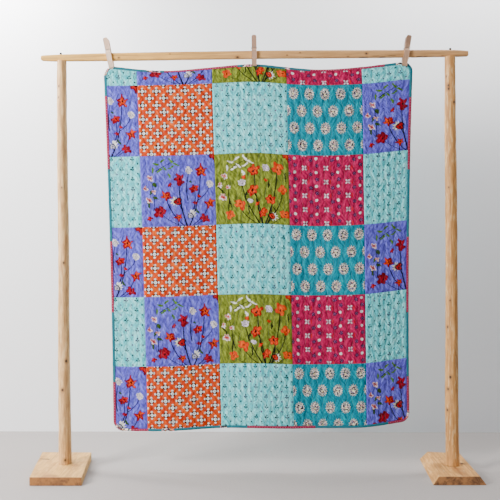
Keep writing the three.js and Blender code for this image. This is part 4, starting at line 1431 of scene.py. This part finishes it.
# The wire runs across the front leg, in round its side and so to the coil: across, back, up
WIRE_ARM = ((-7, -14.9, 0), (2, -14.9, 0), (9.6, -14.9, 0), (10.8, -14.4, 0), (11.3, -13, 0), (11.3, -6, 0),
            (11.2, -4, 0))
zinc = Finish("zinc spring wire")
haze = zinc.noise(zinc.solid_place(), 700.0, 3)
zinc_steel = zinc.shade({
    "Base Color": zinc.mix(haze, "8b8c8e", "b9babb"), "Metallic": 1.0,
    "Roughness": haze * 0.25 + 0.25}, haze, 0.1 * MM, 0.3)
# Each peg's pale tone, darker grain tone, and the tone of the painted shade on its handles
PEG_TONES = {"peg_left": ("f6dcc4", "dcb498", "cfa88c"), "peg_middle": ("c09a80", "8c6c58", "a07c66"),
             "peg_right": ("c09a7c", "86664e", "7c5c48")}
for name, peg_x, peg_z, lean in PEGS:
    stand = Matrix.Translation((peg_x * MM, 0, peg_z * MM)) @ Matrix.Rotation(math.radians(-lean), 4, "Y")
    wood = peg_finish(f"{name} birch", *PEG_TONES[name])
    for part, side, jaw in JAWS:
        points = []
        for x, inset in LEG_SECTIONS:
            path = rounded(leg_outline(jaw), inset)
            crown = PEG_LENGTH - END_DROP * (1 - math.sqrt(1 - (x / END_HALF) ** 2))
            for y, z in path:
                points.append(stand @ Vector((x * MM, side * y * MM, min(z, crown) * MM)))
        faces = tube_faces(len(LEG_SECTIONS), len(path))
        leg = make_piece(f"{name}_{part}_leg", np.array(points), faces, sharp=38)
        turn_outward(leg)
        leg.data.materials.append(wood)
        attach(leg, "root")
        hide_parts(f"{name}_{part}")
    # From the front leg through the coil, and out round the back leg as it came in
    path = list(WIRE_ARM)
    for k in range(COIL_TURNS * COIL_STEPS + 1):
        turn = 2 * math.pi * k / COIL_STEPS + math.pi
        x = COIL_HALF - 2 * COIL_HALF * k / (COIL_TURNS * COIL_STEPS)
        path.append((x, COIL_RADIUS * math.cos(turn), COIL_RADIUS * math.sin(turn)))
    path += [(-x, -y, z) for x, y, z in reversed(WIRE_ARM)]
    mesh = bpy.data.meshes.new(f"{name}_wire_path")
    mesh.from_pydata([stand @ Vector((x * MM, y * MM, (z + SPRING_HEIGHT) * MM)) for x, y, z in path],
                     [(k, k + 1) for k in range(len(path) - 1)], [])
    draft = linked(f"{name}_wire_draft", mesh)
    wind = draft.modifiers.new("wind", "NODES")
    wind.node_group = wire_tree
    set_by_name = {"Radius": WIRE_RADIUS * MM, "Sides": WIRE_SIDES, "Steel": zinc_steel}
    for item in wire_tree.interface.items_tree:
        if item.name in set_by_name:
            wind[item.identifier] = set_by_name[item.name]
    bpy.context.view_layer.update()
    wound = bpy.data.meshes.new_from_object(draft.evaluated_get(bpy.context.evaluated_depsgraph_get()))
    bpy.data.objects.remove(draft)
    wound.shade_smooth()
    wire = linked(f"{name}_wire", wound)
    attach(wire, "root")
    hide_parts(f"{name}_spring")


# Studio: a pale floor, a plain pale backdrop, one large soft light from the left front, a weak fill, and
# the camera at the photograph's angle.
def stage_sheet(name, corners, tones, rough):
    """A flat painted sheet, seen from its front only, so that it hides nothing from behind."""
    mesh = bpy.data.meshes.new(name)
    mesh.from_pydata(corners, [], [(0, 1, 2, 3)])
    finish = Finish(f"{name} paint")
    speck = finish.noise(finish.solid_place(), rough, 4)
    bump = finish.node("ShaderNodeBump", {}, {"Height": speck, "Distance": 2 * MM, "Strength": 0.25})
    paint = finish.mix(speck, *tones)
    surface = {"Base Color": paint, "Roughness": 0.9, "Normal": bump}
    front = finish.node("ShaderNodeBsdfPrincipled", {}, surface)
    clear = finish.node("ShaderNodeBsdfTransparent", {}, {})
    behind = finish.node("ShaderNodeNewGeometry", {}, {}, 6)
    one_sided = finish.node("ShaderNodeMixShader", {}, (behind, front, clear))
    finish.node("ShaderNodeOutputMaterial", {}, (one_sided,))
    mesh.materials.append(finish.material)
    linked(name, mesh)


left, right = -9.0, 9.0
backdrop_back, backdrop_top = 0.57, 7.0
stage_sheet("studio_floor", [(left, left, 0), (right, left, 0), (right, right, 0), (left, right, 0)],
            ("968f8c", "a9a3a0"), 160.0)
stage_sheet("studio_backdrop", [
    (left, backdrop_back, 0), (right, backdrop_back, 0),
    (right, backdrop_back, backdrop_top), (left, backdrop_back, backdrop_top),
], ("ebebee", "eeeef0"), 3.0)


def soft_light(name, place, aim, size, power, colour):
    """A rectangular lamp that looks at a place and isn't itself seen by the camera."""
    lamp = bpy.data.lights.new(name, "AREA")
    lamp.shape = "RECTANGLE"
    lamp.size, lamp.size_y = size
    lamp.energy = power
    lamp.color = colour
    piece = linked(name, lamp)
    piece.visible_camera = False
    piece.location = place
    piece.rotation_euler = (Vector(aim) - Vector(place)).to_track_quat("-Z", "Y").to_euler()


soft_light("key_light", (-2.75, -1.75, 2.05), (0.0, 0.1, 1.0), (1.1, 1.5), 265, (1.0, 0.985, 0.965))
soft_light("fill_light", (1.4, -4.4, 2.0), (0.1, 0.0, 0.8), (3.5, 2.5), 34, (0.96, 0.98, 1.0))
soft_light("backdrop_light", (-1.7, 0.2, 2.55), (-1.6, 0.57, 2.1), (1.5, 0.25), 80, (1.0, 1.0, 1.0))
soft_light("backdrop_wash", (1.5, 0.1, 2.9), (1.4, 0.57, 1.0), (2.0, 0.3), 66, (1.0, 1.0, 1.0))
world = bpy.data.worlds.new("studio air")
world.use_nodes = True
world.node_tree.nodes["Background"].inputs["Color"].default_value = (0.93, 0.95, 1.0, 1.0)
world.node_tree.nodes["Background"].inputs["Strength"].default_value = 0.2
bpy.context.scene.world = world

# Camera: its place, its turn to the left and its roll, and its focal length in the picture's pixels
EYE_PLACE = (0.0613, -2.5993, 0.926)
EYE_TURN = 1.35
EYE_ROLL = -0.26
FOCAL_PIXELS = 622.7
PICTURE_PIXELS = 500
camera = bpy.data.cameras.new("camera")
camera.sensor_width = 36.0
camera.lens = camera.sensor_width * FOCAL_PIXELS / PICTURE_PIXELS
eye = linked("camera", camera)
turned = Matrix.Rotation(math.radians(EYE_TURN), 4, "Z") @ Matrix.Rotation(math.radians(90), 4, "X")
rolled = Matrix.Rotation(math.radians(EYE_ROLL), 4, "Z")
eye.matrix_world = Matrix.Translation(EYE_PLACE) @ turned @ rolled
bpy.context.scene.camera = eye
